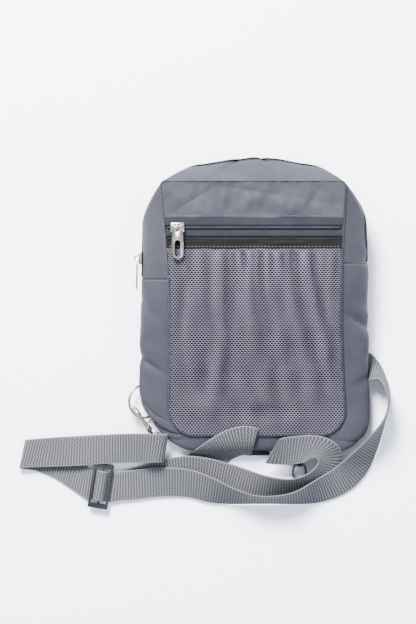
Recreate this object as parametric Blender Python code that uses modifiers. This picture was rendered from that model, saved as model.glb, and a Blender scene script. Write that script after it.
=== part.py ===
"""Small zipped crossbody pouch lying on its back, with its webbing strap laid in front of it.

X points right, Y towards the top of the bag, Z up from the surface it lies on.
"""
import math

import bmesh
import bpy
from mathutils import Matrix, Vector

MM = 0.001

# ---- overall sizes of the bag -------------------------------------------------
BAG_TOP_Y = 118.0 * MM          # outermost line of the gusset, top
BAG_LOW_Y = -120.0 * MM         # outermost line of the gusset, bottom
BAG_HALF_TOP = 91.0 * MM        # outermost half width near the top
BAG_HALF_LOW = 96.0 * MM        # outermost half width low down
TOP_RISE = 4.0 * MM             # bow of the top edge
FRONT_TOP_Y = 102.5 * MM
FRONT_LOW_Y = -108.0 * MM
FRONT_HALF_TOP = 76.3 * MM
FRONT_HALF_LOW = 75.0 * MM
FRONT_WAIST = 5.0 * MM
FRONT_SHEAR = 4.2 * MM          # the front leans to the right going down
BACK_TOP_Y = 100.0 * MM
BACK_LOW_Y = -103.0 * MM
BACK_HALF = 75.5 * MM
DEPTH_TOP = 46.0 * MM           # height of the front seam at the top
DEPTH_LOW = 16.0 * MM           # height of the front seam at the bottom
BACK_THICK = 4.0 * MM
PUFF = 7.0 * MM                 # how far the mesh pocket stands up
MID_SHARE = 0.48                # height of the zip as a share of the depth
SEAM_Y_RIGHT = 35.0 * MM
SEAM_Y_LEFT = 22.0 * MM

# ---- cloth and clearances -----------------------------------------------------
CLOTH = 0.8 * MM
LINING_T = 0.9 * MM
MESH_T = 0.8 * MM
GAP = 0.3 * MM

# ---- front pocket, measured up the front --------------------------------------
YOKE_LOW_Y = 72.0 * MM
POCKET_ZIP_Y = 64.2 * MM
TAPE_LOW_Y = 57.0 * MM
BAND_TOP_Y = 56.4 * MM
BAND_LOW_Y = 46.7 * MM
COIL_R = 1.3 * MM
COIL_GAP = 0.45 * MM            # between the coil and each tape
TAPE_CLEAR = COIL_R + COIL_GAP   # from the coil centre to each tape

# ---- webbing ------------------------------------------------------------------
STRAP_W = 25.0 * MM
STRAP_T = 1.0 * MM

# ---- hardware -----------------------------------------------------------------
RING_R = 13.7 * MM              # D-ring arc, to the wire centre
RING_WIRE = 1.1 * MM
RING_CENTRE = Vector((-92.5 * MM, -79.8 * MM, 0.0))
RING_BAR_X = -86.5 * MM
RING_BAR_Z = 2.6 * MM
RING_LIFT = math.radians(25.0)
PULL_L = 27.0 * MM
PULL_T = 1.2 * MM
PULL_END = 4.4 * MM              # length of the puller's rounded end
PULL_SLOT = 13.6 * MM
PULL_SLOT_R = 2.3 * MM
PULL_RIM = 2.1 * MM              # metal left below the slot
BOW_R = 2.2 * MM                # slider bridge, to the wire centre
BOW_WIRE = 0.6 * MM
PIVOT_Z = 4.2 * MM              # puller axis above the slider's foot

for old in list(bpy.data.objects):
    bpy.data.objects.remove(old, do_unlink=True)

PARTS = bpy.data.collections.new("crossbody_pouch")
CUTTERS = bpy.data.collections.new("cutters")
bpy.context.scene.collection.children.link(PARTS)
bpy.context.scene.collection.children.link(CUTTERS)


def material(name, colour, roughness, metallic=0.0):
    mat = bpy.data.materials.new(name)
    mat.use_nodes = True
    shader = mat.node_tree.nodes["Principled BSDF"]
    shader.inputs["Base Color"].default_value = (*colour, 1.0)
    shader.inputs["Roughness"].default_value = roughness
    shader.inputs["Metallic"].default_value = metallic
    mat.diffuse_color = (*colour, 1.0)
    return mat


NYLON = material("grey_nylon", (0.19, 0.20, 0.24), 0.62)
PAD = material("back_pad_nylon", (0.15, 0.155, 0.18), 0.75)
TAPE = material("zip_tape_navy", (0.06, 0.08, 0.13), 0.8)
COIL = material("zip_coil_navy", (0.05, 0.06, 0.09), 0.45)
BAND = material("black_band", (0.03, 0.032, 0.036), 0.8)
NET = material("purple_grey_mesh", (0.15, 0.13, 0.18), 0.85)
LINING = material("dark_lining", (0.05, 0.045, 0.065), 0.9)
WEB = material("grey_webbing", (0.30, 0.31, 0.34), 0.85)
NICKEL = material("nickel", (0.66, 0.65, 0.62), 0.22, 1.0)
GUN = material("gunmetal", (0.16, 0.16, 0.17), 0.35, 1.0)
PLASTIC = material("dark_plastic", (0.045, 0.05, 0.06), 0.4)


def link(obj, mat, collection=None):
    (collection or PARTS).objects.link(obj)
    obj.data.materials.append(mat)
    return obj


def mesh_object(name, verts, faces, mat, collection=None):
    data = bpy.data.meshes.new(name)
    data.from_pydata([tuple(v) for v in verts], [], faces)
    data.validate()
    data.update()
    return link(bpy.data.objects.new(name, data), mat, collection)


def solid_object(name, verts, faces, mat, collection=None):
    """A closed mesh, with its faces turned outwards."""
    obj = mesh_object(name, verts, faces, mat, collection)
    work = bmesh.new()
    work.from_mesh(obj.data)
    bmesh.ops.recalc_face_normals(work, faces=work.faces)
    work.to_mesh(obj.data)
    work.free()
    return obj


def grid_faces(rows, cols, closed=False):
    faces = []
    last = cols if closed else cols - 1
    for i in range(rows - 1):
        for j in range(last):
            k = (j + 1) % cols
            faces.append((i * cols + j, i * cols + k, (i + 1) * cols + k, (i + 1) * cols + j))
    return faces


def thicken(obj, thickness, offset=-1.0):
    mod = obj.modifiers.new("Solidify", "SOLIDIFY")
    mod.thickness = thickness
    mod.offset = offset
    mod.use_even_offset = False
    mod.use_quality_normals = True
    return obj


def bevel(obj, width, segments=2, angle=35.0):
    mod = obj.modifiers.new("Bevel", "BEVEL")
    mod.width = width
    mod.segments = segments
    mod.limit_method = "ANGLE"
    mod.angle_limit = math.radians(angle)
    return obj


def boolean(obj, other, operation="DIFFERENCE"):
    mod = obj.modifiers.new(operation.title(), "BOOLEAN")
    mod.operation = operation
    mod.solver = "EXACT"
    mod.object = other
    return obj


def as_cutter(obj):
    obj.hide_render = True
    obj.display_type = "WIRE"
    return obj


def box(name, size, centre, mat, collection=None, rotation=None):
    hx, hy, hz = (s / 2.0 for s in size)
    verts = [Vector((x, y, z)) for x in (-hx, hx) for y in (-hy, hy) for z in (-hz, hz)]
    if rotation is not None:
        verts = [rotation @ v for v in verts]
    verts = [v + Vector(centre) for v in verts]
    faces = [(0, 1, 3, 2), (4, 6, 7, 5), (0, 4, 5, 1), (2, 3, 7, 6), (0, 2, 6, 4), (1, 5, 7, 3)]
    return solid_object(name, verts, faces, mat, collection)


def wire(name, points, radius, mat, closed=False, resolution=2, collection=None):
    """A round wire through the points, with filled ends."""
    data = bpy.data.curves.new(name, "CURVE")
    data.dimensions = "3D"
    data.bevel_depth = radius
    data.bevel_resolution = resolution
    data.use_fill_caps = True
    spline = data.splines.new("POLY")
    spline.points.add(len(points) - 1)
    for slot, point in zip(spline.points, points):
        slot.co = (*point, 1.0)
    spline.use_cyclic_u = closed
    return link(bpy.data.objects.new(name, data), mat, collection)


def wire_mesh(name, points, radius, mat, closed=False, resolution=2, collection=None):
    """The same wire turned into a mesh, so that Booleans can use it."""
    curve = wire(name + "_curve", points, radius, mat, closed, resolution, CUTTERS)
    depsgraph = bpy.context.evaluated_depsgraph_get()
    data = bpy.data.meshes.new_from_object(curve.evaluated_get(depsgraph))
    bpy.data.objects.remove(curve, do_unlink=True)
    data.name = name
    obj = bpy.data.objects.new(name, data)
    (collection or PARTS).objects.link(obj)
    weld = obj.modifiers.new("Weld", "WELD")
    weld.merge_threshold = 0.00001
    return obj


def smooth_path(points, per_span):
    """Catmull-Rom through tuples of any length."""
    out = []
    last = len(points) - 1
    for i in range(last):
        p0 = points[max(i - 1, 0)]
        p1, p2 = points[i], points[i + 1]
        p3 = points[min(i + 2, last)]
        for k in range(per_span):
            t = k / per_span
            out.append(tuple(
                0.5 * (2 * b + (c - a) * t + (2 * a - 5 * b + 4 * c - d) * t * t
                       + (3 * b - a - 3 * c + d) * t ** 3)
                for a, b, c, d in zip(p0, p1, p2, p3)))
    out.append(tuple(points[-1]))
    return out


# ---- shape of the bag ---------------------------------------------------------
def ease(t):
    t = min(max(t, 0.0), 1.0)
    return t * t * (3.0 - 2.0 * t)


def front_height(y):
    """Height of the front seam: full at the top, thinner towards the bottom."""
    return DEPTH_TOP + (DEPTH_LOW - DEPTH_TOP) * ease((45.0 * MM - y) / (150.0 * MM))


class Level:
    """One closed line round the bag, given by its half widths and corners."""

    def __init__(self, top, low, half_top, half_low, r_top, r_right, r_left,
                 cut_left=1.0, cut_top=1.0, waist=0.0, shear=0.0, rise=0.0):
        self.top, self.low = top, low
        self.half_top, self.half_low = half_top, half_low
        self.r_top, self.r_right, self.r_left = r_top, r_right, r_left
        self.cut_left, self.cut_top = cut_left, cut_top
        self.waist, self.shear, self.rise = waist, shear, rise

    def half(self, y):
        t = (self.top - y) / (self.top - self.low)
        t = min(max(t, 0.0), 1.0)
        return self.half_top + (self.half_low - self.half_top) * t - self.waist * math.sin(math.pi * t)

    def lean(self, y):
        t = (self.top - y) / (self.top - self.low)
        return self.shear * (t - 0.4)

    def inset(self, y, side):
        """How far the corners pull the side in at this height."""
        r_low = self.r_right if side > 0 else self.r_left
        power = 1.0 if side > 0 else self.cut_left
        depth, r, q = 0.0, 1.0, 1.0
        if y > self.top - self.r_top:
            depth, r, q = y - (self.top - self.r_top), self.r_top, self.cut_top
        elif y < self.low + r_low:
            depth, r, q = (self.low + r_low) - y, r_low, power
        share = min(depth / r, 1.0) ** (1.0 / q)
        return r * (1.0 - max(1.0 - share * share, 0.0) ** (q / 2.0)) if depth > 0 else 0.0

    def edge(self, y, side):
        return side * (self.half(y) - self.inset(y, side)) + self.lean(y)

    def point(self, p):
        """Point at parameter p: 12 pieces clockwise from the middle of the top."""
        p = p % 12.0
        side = 1.0 if p < 6.0 else -1.0
        q = p if p < 6.0 else 12.0 - p
        seam = SEAM_Y_RIGHT if side > 0 else SEAM_Y_LEFT
        r_low = self.r_right if side > 0 else self.r_left
        power = 1.0 if side > 0 else self.cut_left
        piece, t = int(min(q, 5.999999)), q - int(min(q, 5.999999))
        if piece == 0:
            x_end = self.half(self.top) - self.r_top
            x = side * x_end * t + self.lean(self.top)
            return x, self.top + self.rise * (1.0 - t * t)
        if piece == 1:
            angle = t * math.pi / 2.0
            y = self.top - self.r_top * (1.0 - math.cos(angle) ** self.cut_top)
            x = self.half(y) - self.r_top * (1.0 - math.sin(angle) ** self.cut_top)
            return side * x + self.lean(y), y
        if piece in (2, 3):
            a, b = (self.top - self.r_top, seam) if piece == 2 else (seam, self.low + r_low)
            y = a + (b - a) * t
            return self.edge(y, side), y
        if piece == 4:
            angle = t * math.pi / 2.0
            y = self.low + r_low * (1.0 - math.sin(angle) ** power)
            x = self.half(y) - r_low * (1.0 - math.cos(angle) ** power)
            return side * x + self.lean(y), y
        x_end = self.half(self.low) - r_low
        return side * x_end * (1.0 - t) + self.lean(self.low), self.low


FRONT = Level(FRONT_TOP_Y, FRONT_LOW_Y, FRONT_HALF_TOP, FRONT_HALF_LOW, 5.0 * MM, 24.0 * MM,
              24.0 * MM, waist=FRONT_WAIST, shear=FRONT_SHEAR)
MIDDLE = Level(BAG_TOP_Y, BAG_LOW_Y, BAG_HALF_TOP, BAG_HALF_LOW, 50.0 * MM, 28.0 * MM,
               45.0 * MM, cut_left=1.3, cut_top=1.25, rise=TOP_RISE)
BACK = Level(BACK_TOP_Y, BACK_LOW_Y, BACK_HALF, BACK_HALF, 16.0 * MM, 24.0 * MM, 26.0 * MM)

STACK = MESH_T + GAP + LINING_T + GAP   # cloth of the front lying above the gusset seam


def shell_point(p, u, proud=0.0):
    """Point on the gusset: p runs round the bag, u from the front seam to the back seam."""
    fx, fy = FRONT.point(p)
    mx, my = MIDDLE.point(p)
    bx, by = BACK.point(p)
    fz = front_height(fy) - STACK
    bz = BACK_THICK + GAP
    mz = bz + MID_SHARE * (fz - bz)
    a = Vector((fx, fy, fz))
    m = Vector((mx, my, mz))
    b = Vector((bx, by, bz))
    c = m * 2.0 - (a + b) * 0.5
    at = a * (1 - u) ** 2 + c * (2 * u * (1 - u)) + b * u * u
    if proud:
        out = Vector((mx - (fx + bx) / 2.0, my - (fy + by) / 2.0, 0.0))
        at += out.normalized() * proud
    return at


def off_zip(p, distance):
    """Value of u at a distance along the gusset from the zip line (towards the back if positive)."""
    speed = (shell_point(p, 0.52) - shell_point(p, 0.48)).length / 0.04
    return 0.5 + distance / speed


PIECE_STEPS = {0: 4, 1: 7, 2: 4, 3: 6, 4: 8, 5: 4}


def round_params(start, stop):
    """Parameters from start to stop (may pass 12), with the corners sampled closer."""
    values = [start]
    piece = math.floor(start)
    while piece < stop:
        kind = piece % 12
        steps = PIECE_STEPS[kind if kind < 6 else 11 - kind]
        for k in range(1, steps + 1):
            value = piece + k / steps
            if start + 1e-6 < value < stop - 1e-6:
                values.append(value)
        piece += 1
    values.append(stop)
    return values


def gusset_strip(name, start, stop, near, far, rows, mat, thickness=CLOTH):
    """Strip of the gusset between two lines, each a distance from the zip or a seam (None)."""
    params = round_params(start, stop)
    verts = []
    for i in range(rows):
        t = i / (rows - 1)
        for p in params:
            u0 = 0.0 if near is None else off_zip(p, near)
            u1 = 1.0 if far is None else off_zip(p, far)
            verts.append(shell_point(p, u0 + (u1 - u0) * t))
    obj = mesh_object(name, verts, grid_faces(rows, len(params)), mat)
    return thicken(obj, thickness, -1.0)


END = 0.004
ZIP_FROM, ZIP_TO = 9.0 + END, 15.0 - END
LOW_FROM, LOW_TO = 3.0 + END, 9.0 - END

HEM = 4.6 * MM                  # from the coil centre to the hem of each gusset strip
gusset_strip("lower_gusset", LOW_FROM, LOW_TO, None, None, 9, NYLON)
gusset_strip("zip_gusset_front", ZIP_FROM, ZIP_TO, None, -HEM, 6, NYLON)
gusset_strip("zip_gusset_back", ZIP_FROM, ZIP_TO, HEM, None, 6, NYLON)
gusset_strip("main_zip_tape_front", ZIP_FROM, ZIP_TO, GAP - HEM, -TAPE_CLEAR, 2, TAPE, 0.8 * MM)
gusset_strip("main_zip_tape_back", ZIP_FROM, ZIP_TO, TAPE_CLEAR, HEM - GAP, 2, TAPE, 0.8 * MM)

coil_path = [shell_point(p, 0.5, -0.9 * MM) for p in round_params(9.06, 14.94)]
wire("main_zip_coil", coil_path, COIL_R, COIL)

# ---- front and back panels ----------------------------------------------------


def pocket_lift(x, y):
    """Dome of the mesh pocket, nothing at its edges."""
    left, right = FRONT.edge(y, -1.0), FRONT.edge(y, 1.0)
    s = min(max((x - left) / (right - left), 0.0), 1.0)
    t = min(max((BAND_LOW_Y - y) / (BAND_LOW_Y - FRONT_LOW_Y), 0.0), 1.0)
    return math.sin(math.pi * s) ** 0.8 * math.sin(math.pi * t ** 0.8) ** 0.8


def front_rows(y_high, y_low, rows):
    """Heights of the rows, closer together where the panel's corners turn."""
    heights = [y_high + (y_low - y_high) * i / (rows - 1) for i in range(rows)]
    r_top, r_low = FRONT.r_top, FRONT.r_left
    heights += [FRONT.top - r_top * (1.0 - math.cos(math.radians(a))) for a in (0, 30, 60)]
    heights += [FRONT.low + r_low * (1.0 - math.cos(math.radians(a))) for a in (0, 7, 15, 25, 35)]
    inside = sorted({round(y, 6) for y in heights if y_low <= y <= y_high}, reverse=True)
    kept = [inside[0]]
    for y in inside[1:-1]:
        if kept[-1] - y > 0.1 * MM and y - inside[-1] > 0.1 * MM:
            kept.append(y)
    return kept + [inside[-1]]


def front_panel(name, y_high, y_low, rows, cols, mat, thickness, below=0.0, dome=0.0):
    """A piece of the front between two heights, spanning from seam to seam."""
    verts = []
    heights = front_rows(y_high, y_low, rows)
    rows = len(heights)
    for y in heights:
        left, right = FRONT.edge(y, -1.0), FRONT.edge(y, 1.0)
        for j in range(cols):
            x = left + (right - left) * j / (cols - 1)
            z = front_height(y) - below + dome * pocket_lift(x, y)
            verts.append(Vector((x, y, z)))
    faces = [tuple(reversed(f)) for f in grid_faces(rows, cols)]
    obj = mesh_object(name, verts, faces, mat)
    return thicken(obj, thickness, -1.0)


front_panel("front_lining", FRONT_TOP_Y, FRONT_LOW_Y, 14, 9, LINING, LINING_T,
            below=MESH_T + GAP, dome=1.5 * MM)
front_panel("front_yoke", FRONT_TOP_Y, YOKE_LOW_Y + GAP / 2.0, 5, 9, NYLON, MESH_T)
front_panel("pocket_zip_tape_upper", YOKE_LOW_Y - GAP / 2.0, POCKET_ZIP_Y + TAPE_CLEAR, 2, 7,
            TAPE, 0.7 * MM)
front_panel("pocket_zip_tape_lower", POCKET_ZIP_Y - TAPE_CLEAR, TAPE_LOW_Y, 2, 7, TAPE, 0.7 * MM)
front_panel("pocket_band", BAND_TOP_Y, BAND_LOW_Y, 3, 9, BAND, MESH_T)
front_panel("mesh_pocket", BAND_LOW_Y - GAP, FRONT_LOW_Y, 15, 15, NET, MESH_T, dome=PUFF)

FRONT_Z = DEPTH_TOP
zip_half = FRONT.half(POCKET_ZIP_Y) - 2.5 * MM
zip_mid = FRONT.lean(POCKET_ZIP_Y)
coil_z = FRONT_Z - MESH_T + COIL_R + 0.05 * MM
wire("pocket_zip_coil", [(zip_mid - zip_half, POCKET_ZIP_Y, coil_z), (zip_mid, POCKET_ZIP_Y, coil_z),
                         (zip_mid + zip_half, POCKET_ZIP_Y, coil_z)], COIL_R, COIL)


def back_outline():
    return [BACK.point(p) for p in round_params(0.0, 12.0)[:-1]]


def back_slab():
    ring = back_outline()
    count = len(ring)
    verts = [Vector((x, y, 0.0)) for x, y in ring] + [Vector((x, y, BACK_THICK)) for x, y in ring]
    faces = [tuple(range(count)), tuple(range(2 * count - 1, count - 1, -1))]
    for i in range(count):
        k = (i + 1) % count
        faces.append((i, count + i, count + k, k))
    obj = solid_object("back_panel", verts, faces, PAD)
    return bevel(obj, 0.9 * MM, 2, 50.0)


back_slab()

# ---- zip sliders and pullers --------------------------------------------------


def frame_matrix(origin, along, out):
    """Local x across the zip, local y along it, local z away from the bag."""
    y = along.normalized()
    z = (out - y * out.dot(y)).normalized()
    x = y.cross(z)
    m = Matrix((x, y, z)).transposed().to_4x4()
    m.translation = origin
    return m


def place(obj, matrix):
    obj.data.transform(matrix)
    return obj


def slider_body(name, matrix):
    """Cap that rides over the coil, with the bridge that carries the puller."""
    body = box(name, (8.4 * MM, 10.0 * MM, 3.0 * MM), (0, 0, 1.5 * MM), NICKEL)
    bevel(body, 0.8 * MM, 2)
    channel = as_cutter(box(name + "_channel", (2.0 * COIL_R + 0.9 * MM, 12.0 * MM, 4.0 * COIL_R - 1.6 * MM),
                            (0, 0, 0.0), NICKEL, CUTTERS))
    arc = [(0.0, -BOW_R * math.cos(math.pi * k / 12), PIVOT_Z + BOW_R * math.sin(math.pi * k / 12))
           for k in range(13)]
    arc = [(0.0, -BOW_R, 2.4 * MM)] + arc + [(0.0, BOW_R, 2.4 * MM)]
    bow = as_cutter(wire_mesh(name + "_bow", arc, BOW_WIRE, NICKEL, resolution=2, collection=CUTTERS))
    for part in (body, channel, bow):
        place(part, matrix)
    boolean(body, channel)
    boolean(body, bow, "UNION")
    return body


def puller(name, matrix, pivot):
    """Flat tab hanging towards local -y from the pivot, wider at its free end."""
    def half_width(t):
        return (2.4 + 1.8 * ease(t / 0.28) + 1.0 * t) * MM

    steps = 16
    right = []
    for k in range(steps + 1):
        t = k / steps
        right.append((half_width(t), 0.9 * MM - t * (PULL_L - PULL_END)))
    end_half = half_width(1.0)
    end_y = right[-1][1]
    for k in range(1, 8):
        angle = math.pi / 2.0 * k / 8
        right.append((end_half * math.cos(angle), end_y - PULL_END * math.sin(angle)))
    outline = right + [(0.0, end_y - PULL_END)] + [(-x, y) for x, y in reversed(right)]
    count = len(outline)
    low, high = -PULL_T / 2.0, PULL_T / 2.0
    verts = [Vector((x, y, low)) for x, y in outline] + [Vector((x, y, high)) for x, y in outline]
    faces = [tuple(range(count)), tuple(range(2 * count - 1, count - 1, -1))]
    for i in range(count):
        k = (i + 1) % count
        faces.append((i, count + i, count + k, k))
    tab = solid_object(name, verts, faces, NICKEL)
    window = as_cutter(box(name + "_window", (2.2 * MM, 2.9 * MM, 6.0 * MM),
                           (0, -2.15 * MM, 0), NICKEL, CUTTERS))
    slot = as_cutter(slot_cutter(name + "_slot", PULL_SLOT_R, PULL_SLOT,
                                  0.9 * MM - PULL_L + PULL_RIM + PULL_SLOT / 2.0))
    shift = Matrix.Translation(pivot)
    for part in (tab, window, slot):
        place(part, matrix @ shift)
    boolean(tab, window)
    boolean(tab, slot)
    tab.data.transform(Matrix.Translation(-(matrix @ pivot)))
    tab.location = matrix @ pivot
    return tab


def slot_cutter(name, radius, length, centre_y):
    """Straight slot with round ends, cut through the puller."""
    flat = length / 2.0 - radius
    ring = []
    for k in range(9):
        angle = math.pi * k / 8
        ring.append((radius * math.cos(angle), centre_y + flat + radius * math.sin(angle)))
    for k in range(9):
        angle = math.pi + math.pi * k / 8
        ring.append((radius * math.cos(angle), centre_y - flat + radius * math.sin(angle)))
    count = len(ring)
    verts = [Vector((x, y, -3.0 * MM)) for x, y in ring] + [Vector((x, y, 3.0 * MM)) for x, y in ring]
    faces = [tuple(reversed(range(count))), tuple(range(count, 2 * count))]
    for i in range(count):
        k = (i + 1) % count
        faces.append((i, k, count + k, count + i))
    return solid_object(name, verts, faces, NICKEL, CUTTERS)


PIVOT = Vector((0.0, 0.0, PIVOT_Z))

pocket_matrix = frame_matrix(Vector((-63.6 * MM, POCKET_ZIP_Y, FRONT_Z + 0.25 * MM)),
                             Vector((0.0, 1.0, 0.0)), Vector((0.0, 0.0, 1.0)))
# the pocket slider runs along X, its puller hangs down the front
run_matrix = frame_matrix(Vector((-63.6 * MM, POCKET_ZIP_Y, FRONT_Z + 0.25 * MM)),
                          Vector((1.0, 0.0, 0.0)), Vector((0.0, 0.0, 1.0)))


def pocket_slider(name, matrix):
    """Slider whose bridge stands across the zip, so that the puller hangs square to it."""
    body = box(name, (8.4 * MM, 11.5 * MM, 3.0 * MM), (0, 0, 1.5 * MM), NICKEL)
    bevel(body, 0.8 * MM, 2)
    channel = as_cutter(box(name + "_channel", (2.0 * COIL_R + 0.9 * MM, 14.0 * MM, 4.0 * COIL_R - 1.6 * MM),
                            (0, 0, 0.0), NICKEL, CUTTERS))
    arc = [(-BOW_R * math.cos(math.pi * k / 12), 0.0, PIVOT_Z + BOW_R * math.sin(math.pi * k / 12))
           for k in range(13)]
    arc = [(-BOW_R, 0.0, 2.2 * MM)] + arc + [(BOW_R, 0.0, 2.2 * MM)]
    bow = as_cutter(wire_mesh(name + "_bow", arc, BOW_WIRE, NICKEL, resolution=2, collection=CUTTERS))
    for part in (body, channel, bow):
        place(part, matrix)
    boolean(body, channel)
    boolean(body, bow, "UNION")
    return body


pocket_slider("pocket_zip_slider", run_matrix)
puller("pocket_zip_puller", pocket_matrix, PIVOT)

# main zip slider on the left side of the gusset
MAIN_P = 9.0 + (42.0 * MM - SEAM_Y_LEFT) / ((BAG_TOP_Y - 44.0 * MM) - SEAM_Y_LEFT)
main_at = shell_point(MAIN_P, 0.5, 0.45 * MM)
main_along = (shell_point(MAIN_P + 0.1, 0.5) - shell_point(MAIN_P - 0.1, 0.5)).normalized()
main_matrix = frame_matrix(main_at, main_along, Vector((-1.0, 0.0, 0.0)))
slider_body("main_zip_slider", main_matrix)
puller("main_zip_puller", main_matrix, PIVOT)

# ---- D-ring and its tab -------------------------------------------------------


def ring_swing(point):
    """Turn a point of the flat D-ring up about its straight bar."""
    x, y, z = point
    rel = x - RING_BAR_X
    return Vector((RING_BAR_X + rel * math.cos(RING_LIFT), y,
                   RING_BAR_Z - rel * math.sin(RING_LIFT) + z))


def d_ring_points():
    half_open = math.acos((RING_BAR_X - RING_CENTRE.x) / RING_R)
    points = []
    steps = 30
    for k in range(steps + 1):
        angle = half_open + (2.0 * math.pi - 2.0 * half_open) * k / steps
        points.append(ring_swing((RING_CENTRE.x + RING_R * math.cos(angle),
                                  RING_CENTRE.y + RING_R * math.sin(angle), 0.0)))
    y_end = RING_R * math.sin(half_open)
    for k in range(1, 5):
        y = RING_CENTRE.y - y_end + 2.0 * y_end * k / 5
        points.append(ring_swing((RING_BAR_X, y, 0.0)))
    return points


wire("d_ring", d_ring_points(), RING_WIRE, NICKEL, closed=True, resolution=2)


def ribbon(name, stations, width, mat, per_span=4, thickness=STRAP_T):
    """Flat webbing: stations are x, y, z, plan angle of the width and its tilt (mm, degrees)."""
    path = smooth_path(stations, per_span)
    centres = [Vector(s[:3]) * MM for s in path]
    verts = []
    for i, station in enumerate(path):
        turn, tilt = math.radians(station[3]), math.radians(station[4])
        across = Vector((math.cos(tilt) * math.cos(turn), math.cos(tilt) * math.sin(turn),
                         math.sin(tilt)))
        for k in range(3):
            verts.append(centres[i] + across * (width * (k / 2.0 - 0.5)))
    obj = mesh_object(name, verts, grid_faces(len(path), 3), mat)
    thicken(obj, thickness, 0.0)
    obj.modifiers["Solidify"].use_even_offset = True
    return obj


def tab_stations():
    """Doubled webbing tab from the back seam round the bar of the D-ring."""
    r = (RING_WIRE + GAP) / MM + 0.55
    bx, bz, y = RING_BAR_X / MM, RING_BAR_Z / MM, RING_CENTRE.y / MM
    out = [(-76.6, y, 2.35, 90, 0), (-79.0, y, 2.35, 90, 0), (-82.0, y, 3.1, 90, 0)]
    for k in range(7):
        angle = math.radians(75.0 + (285.0 - 75.0) * k / 6)
        out.append((bx + r * math.cos(angle), y, bz + r * math.sin(angle), 90, 0))
    return out + [(-82.0, y, 0.9, 90, 0), (-79.0, y, 0.9, 90, 0), (-76.6, y, 0.9, 90, 0)]


ribbon("d_ring_tab", tab_stations(), 16.0 * MM, WEB, per_span=2, thickness=0.9 * MM)

# ---- snap hook ----------------------------------------------------------------
HOOK_AT = Vector((-87.6 * MM, -102.6 * MM, 0.0))
HOOK_DIR = Vector((-0.583, 0.812, 0.0)).normalized()
HOOK_SIDE = Vector((HOOK_DIR.y, -HOOK_DIR.x, 0.0))
HOOK_AXIS_Z = 12.6 * MM
HOOK_WIRE = 1.7 * MM
HOOK_BEND = 7.0 * MM
SPINE_Z = 16.4 * MM


def hook_point(s, z, side=0.0):
    return HOOK_AT + HOOK_DIR * (s * MM) + HOOK_SIDE * (side * MM) + Vector((0, 0, z * MM))


def cylinder_between(name, a, b, radius, mat, collection=None, sides=20):
    axis = (b - a).normalized()
    helper = Vector((0, 0, 1)) if abs(axis.z) < 0.9 else Vector((1, 0, 0))
    u = axis.cross(helper).normalized()
    v = axis.cross(u)
    ring = [u * (radius * math.cos(2 * math.pi * k / sides)) + v * (radius * math.sin(2 * math.pi * k / sides))
            for k in range(sides)]
    verts = [a + r for r in ring] + [b + r for r in ring]
    faces = [tuple(range(sides)), tuple(range(2 * sides - 1, sides - 1, -1))]
    for i in range(sides):
        k = (i + 1) % sides
        faces.append((i, sides + i, sides + k, k))
    return solid_object(name, verts, faces, mat, collection)


def hook_body():
    axis_z = HOOK_AXIS_Z / MM
    spine_z = SPINE_Z / MM
    bend = HOOK_BEND / MM
    path = [hook_point(0.2, axis_z + 1.2), hook_point(1.0, axis_z + 2.7), hook_point(2.6, spine_z),
            hook_point(6.0, spine_z), hook_point(11.0, spine_z)]
    for k in range(13):
        angle = math.pi / 2.0 - math.pi * k / 12
        path.append(hook_point(14.6 + bend * math.cos(angle), spine_z - bend + bend * math.sin(angle)))
    path.append(hook_point(13.6, spine_z - 2 * bend))
    body = wire_mesh("hook_body", path, HOOK_WIRE, NICKEL, resolution=3)
    collar = as_cutter(cylinder_between("hook_collar", hook_point(-2.0, axis_z), hook_point(2.6, axis_z),
                                        2.5 * MM, NICKEL, CUTTERS))
    lug_path = [hook_point(0.6, axis_z - 1.2), hook_point(1.2, axis_z - 3.4),
                hook_point(1.7, spine_z - 2 * bend + 0.4)]
    lug = as_cutter(wire_mesh("hook_lug", lug_path, 1.3 * MM, NICKEL, resolution=2, collection=CUTTERS))
    bore = as_cutter(cylinder_between("hook_bore", hook_point(-4.0, axis_z), hook_point(4.2, axis_z),
                                      1.4 * MM, NICKEL, CUTTERS))
    boolean(body, collar, "UNION")
    boolean(body, lug, "UNION")
    boolean(body, bore)
    return body


hook_body()
gate_z = (SPINE_Z - 2 * HOOK_BEND) / MM
gate_pivot = hook_point(3.9, gate_z)
gate = wire_mesh("hook_gate", [hook_point(s, gate_z) - gate_pivot for s in (3.4, 6.0, 10.0, 13.2)],
                 1.1 * MM, NICKEL, resolution=2)
gate.location = gate_pivot


def swivel_eye():
    """Round eye lying in the strap end, with the headed stud that turns in the collar."""
    axis_z = HOOK_AXIS_Z / MM
    head = cylinder_between("hook_swivel_eye", hook_point(-4.4, axis_z), hook_point(3.9, axis_z),
                            1.05 * MM, NICKEL)
    rivet = as_cutter(cylinder_between("stud_head", hook_point(2.95, axis_z), hook_point(3.9, axis_z),
                                       1.75 * MM, NICKEL, CUTTERS))
    centre = hook_point(-9.0, axis_z)
    tilt = math.radians(14.0)
    u = Vector((math.cos(tilt) * 0.0 + HOOK_DIR.x, HOOK_DIR.y, 0.0)).normalized()
    v = Vector((HOOK_SIDE.x, HOOK_SIDE.y, math.tan(tilt) * 0.0)).normalized()
    loop = [centre + u * (5.0 * MM * math.cos(2 * math.pi * k / 28)) + v * (4.6 * MM * math.sin(2 * math.pi * k / 28))
            for k in range(28)]
    eye = as_cutter(wire_mesh("eye_loop", loop, 0.85 * MM, NICKEL, closed=True, resolution=2,
                              collection=CUTTERS))
    boolean(head, rivet, "UNION")
    boolean(head, eye, "UNION")
    return head


swivel_eye()

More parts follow.
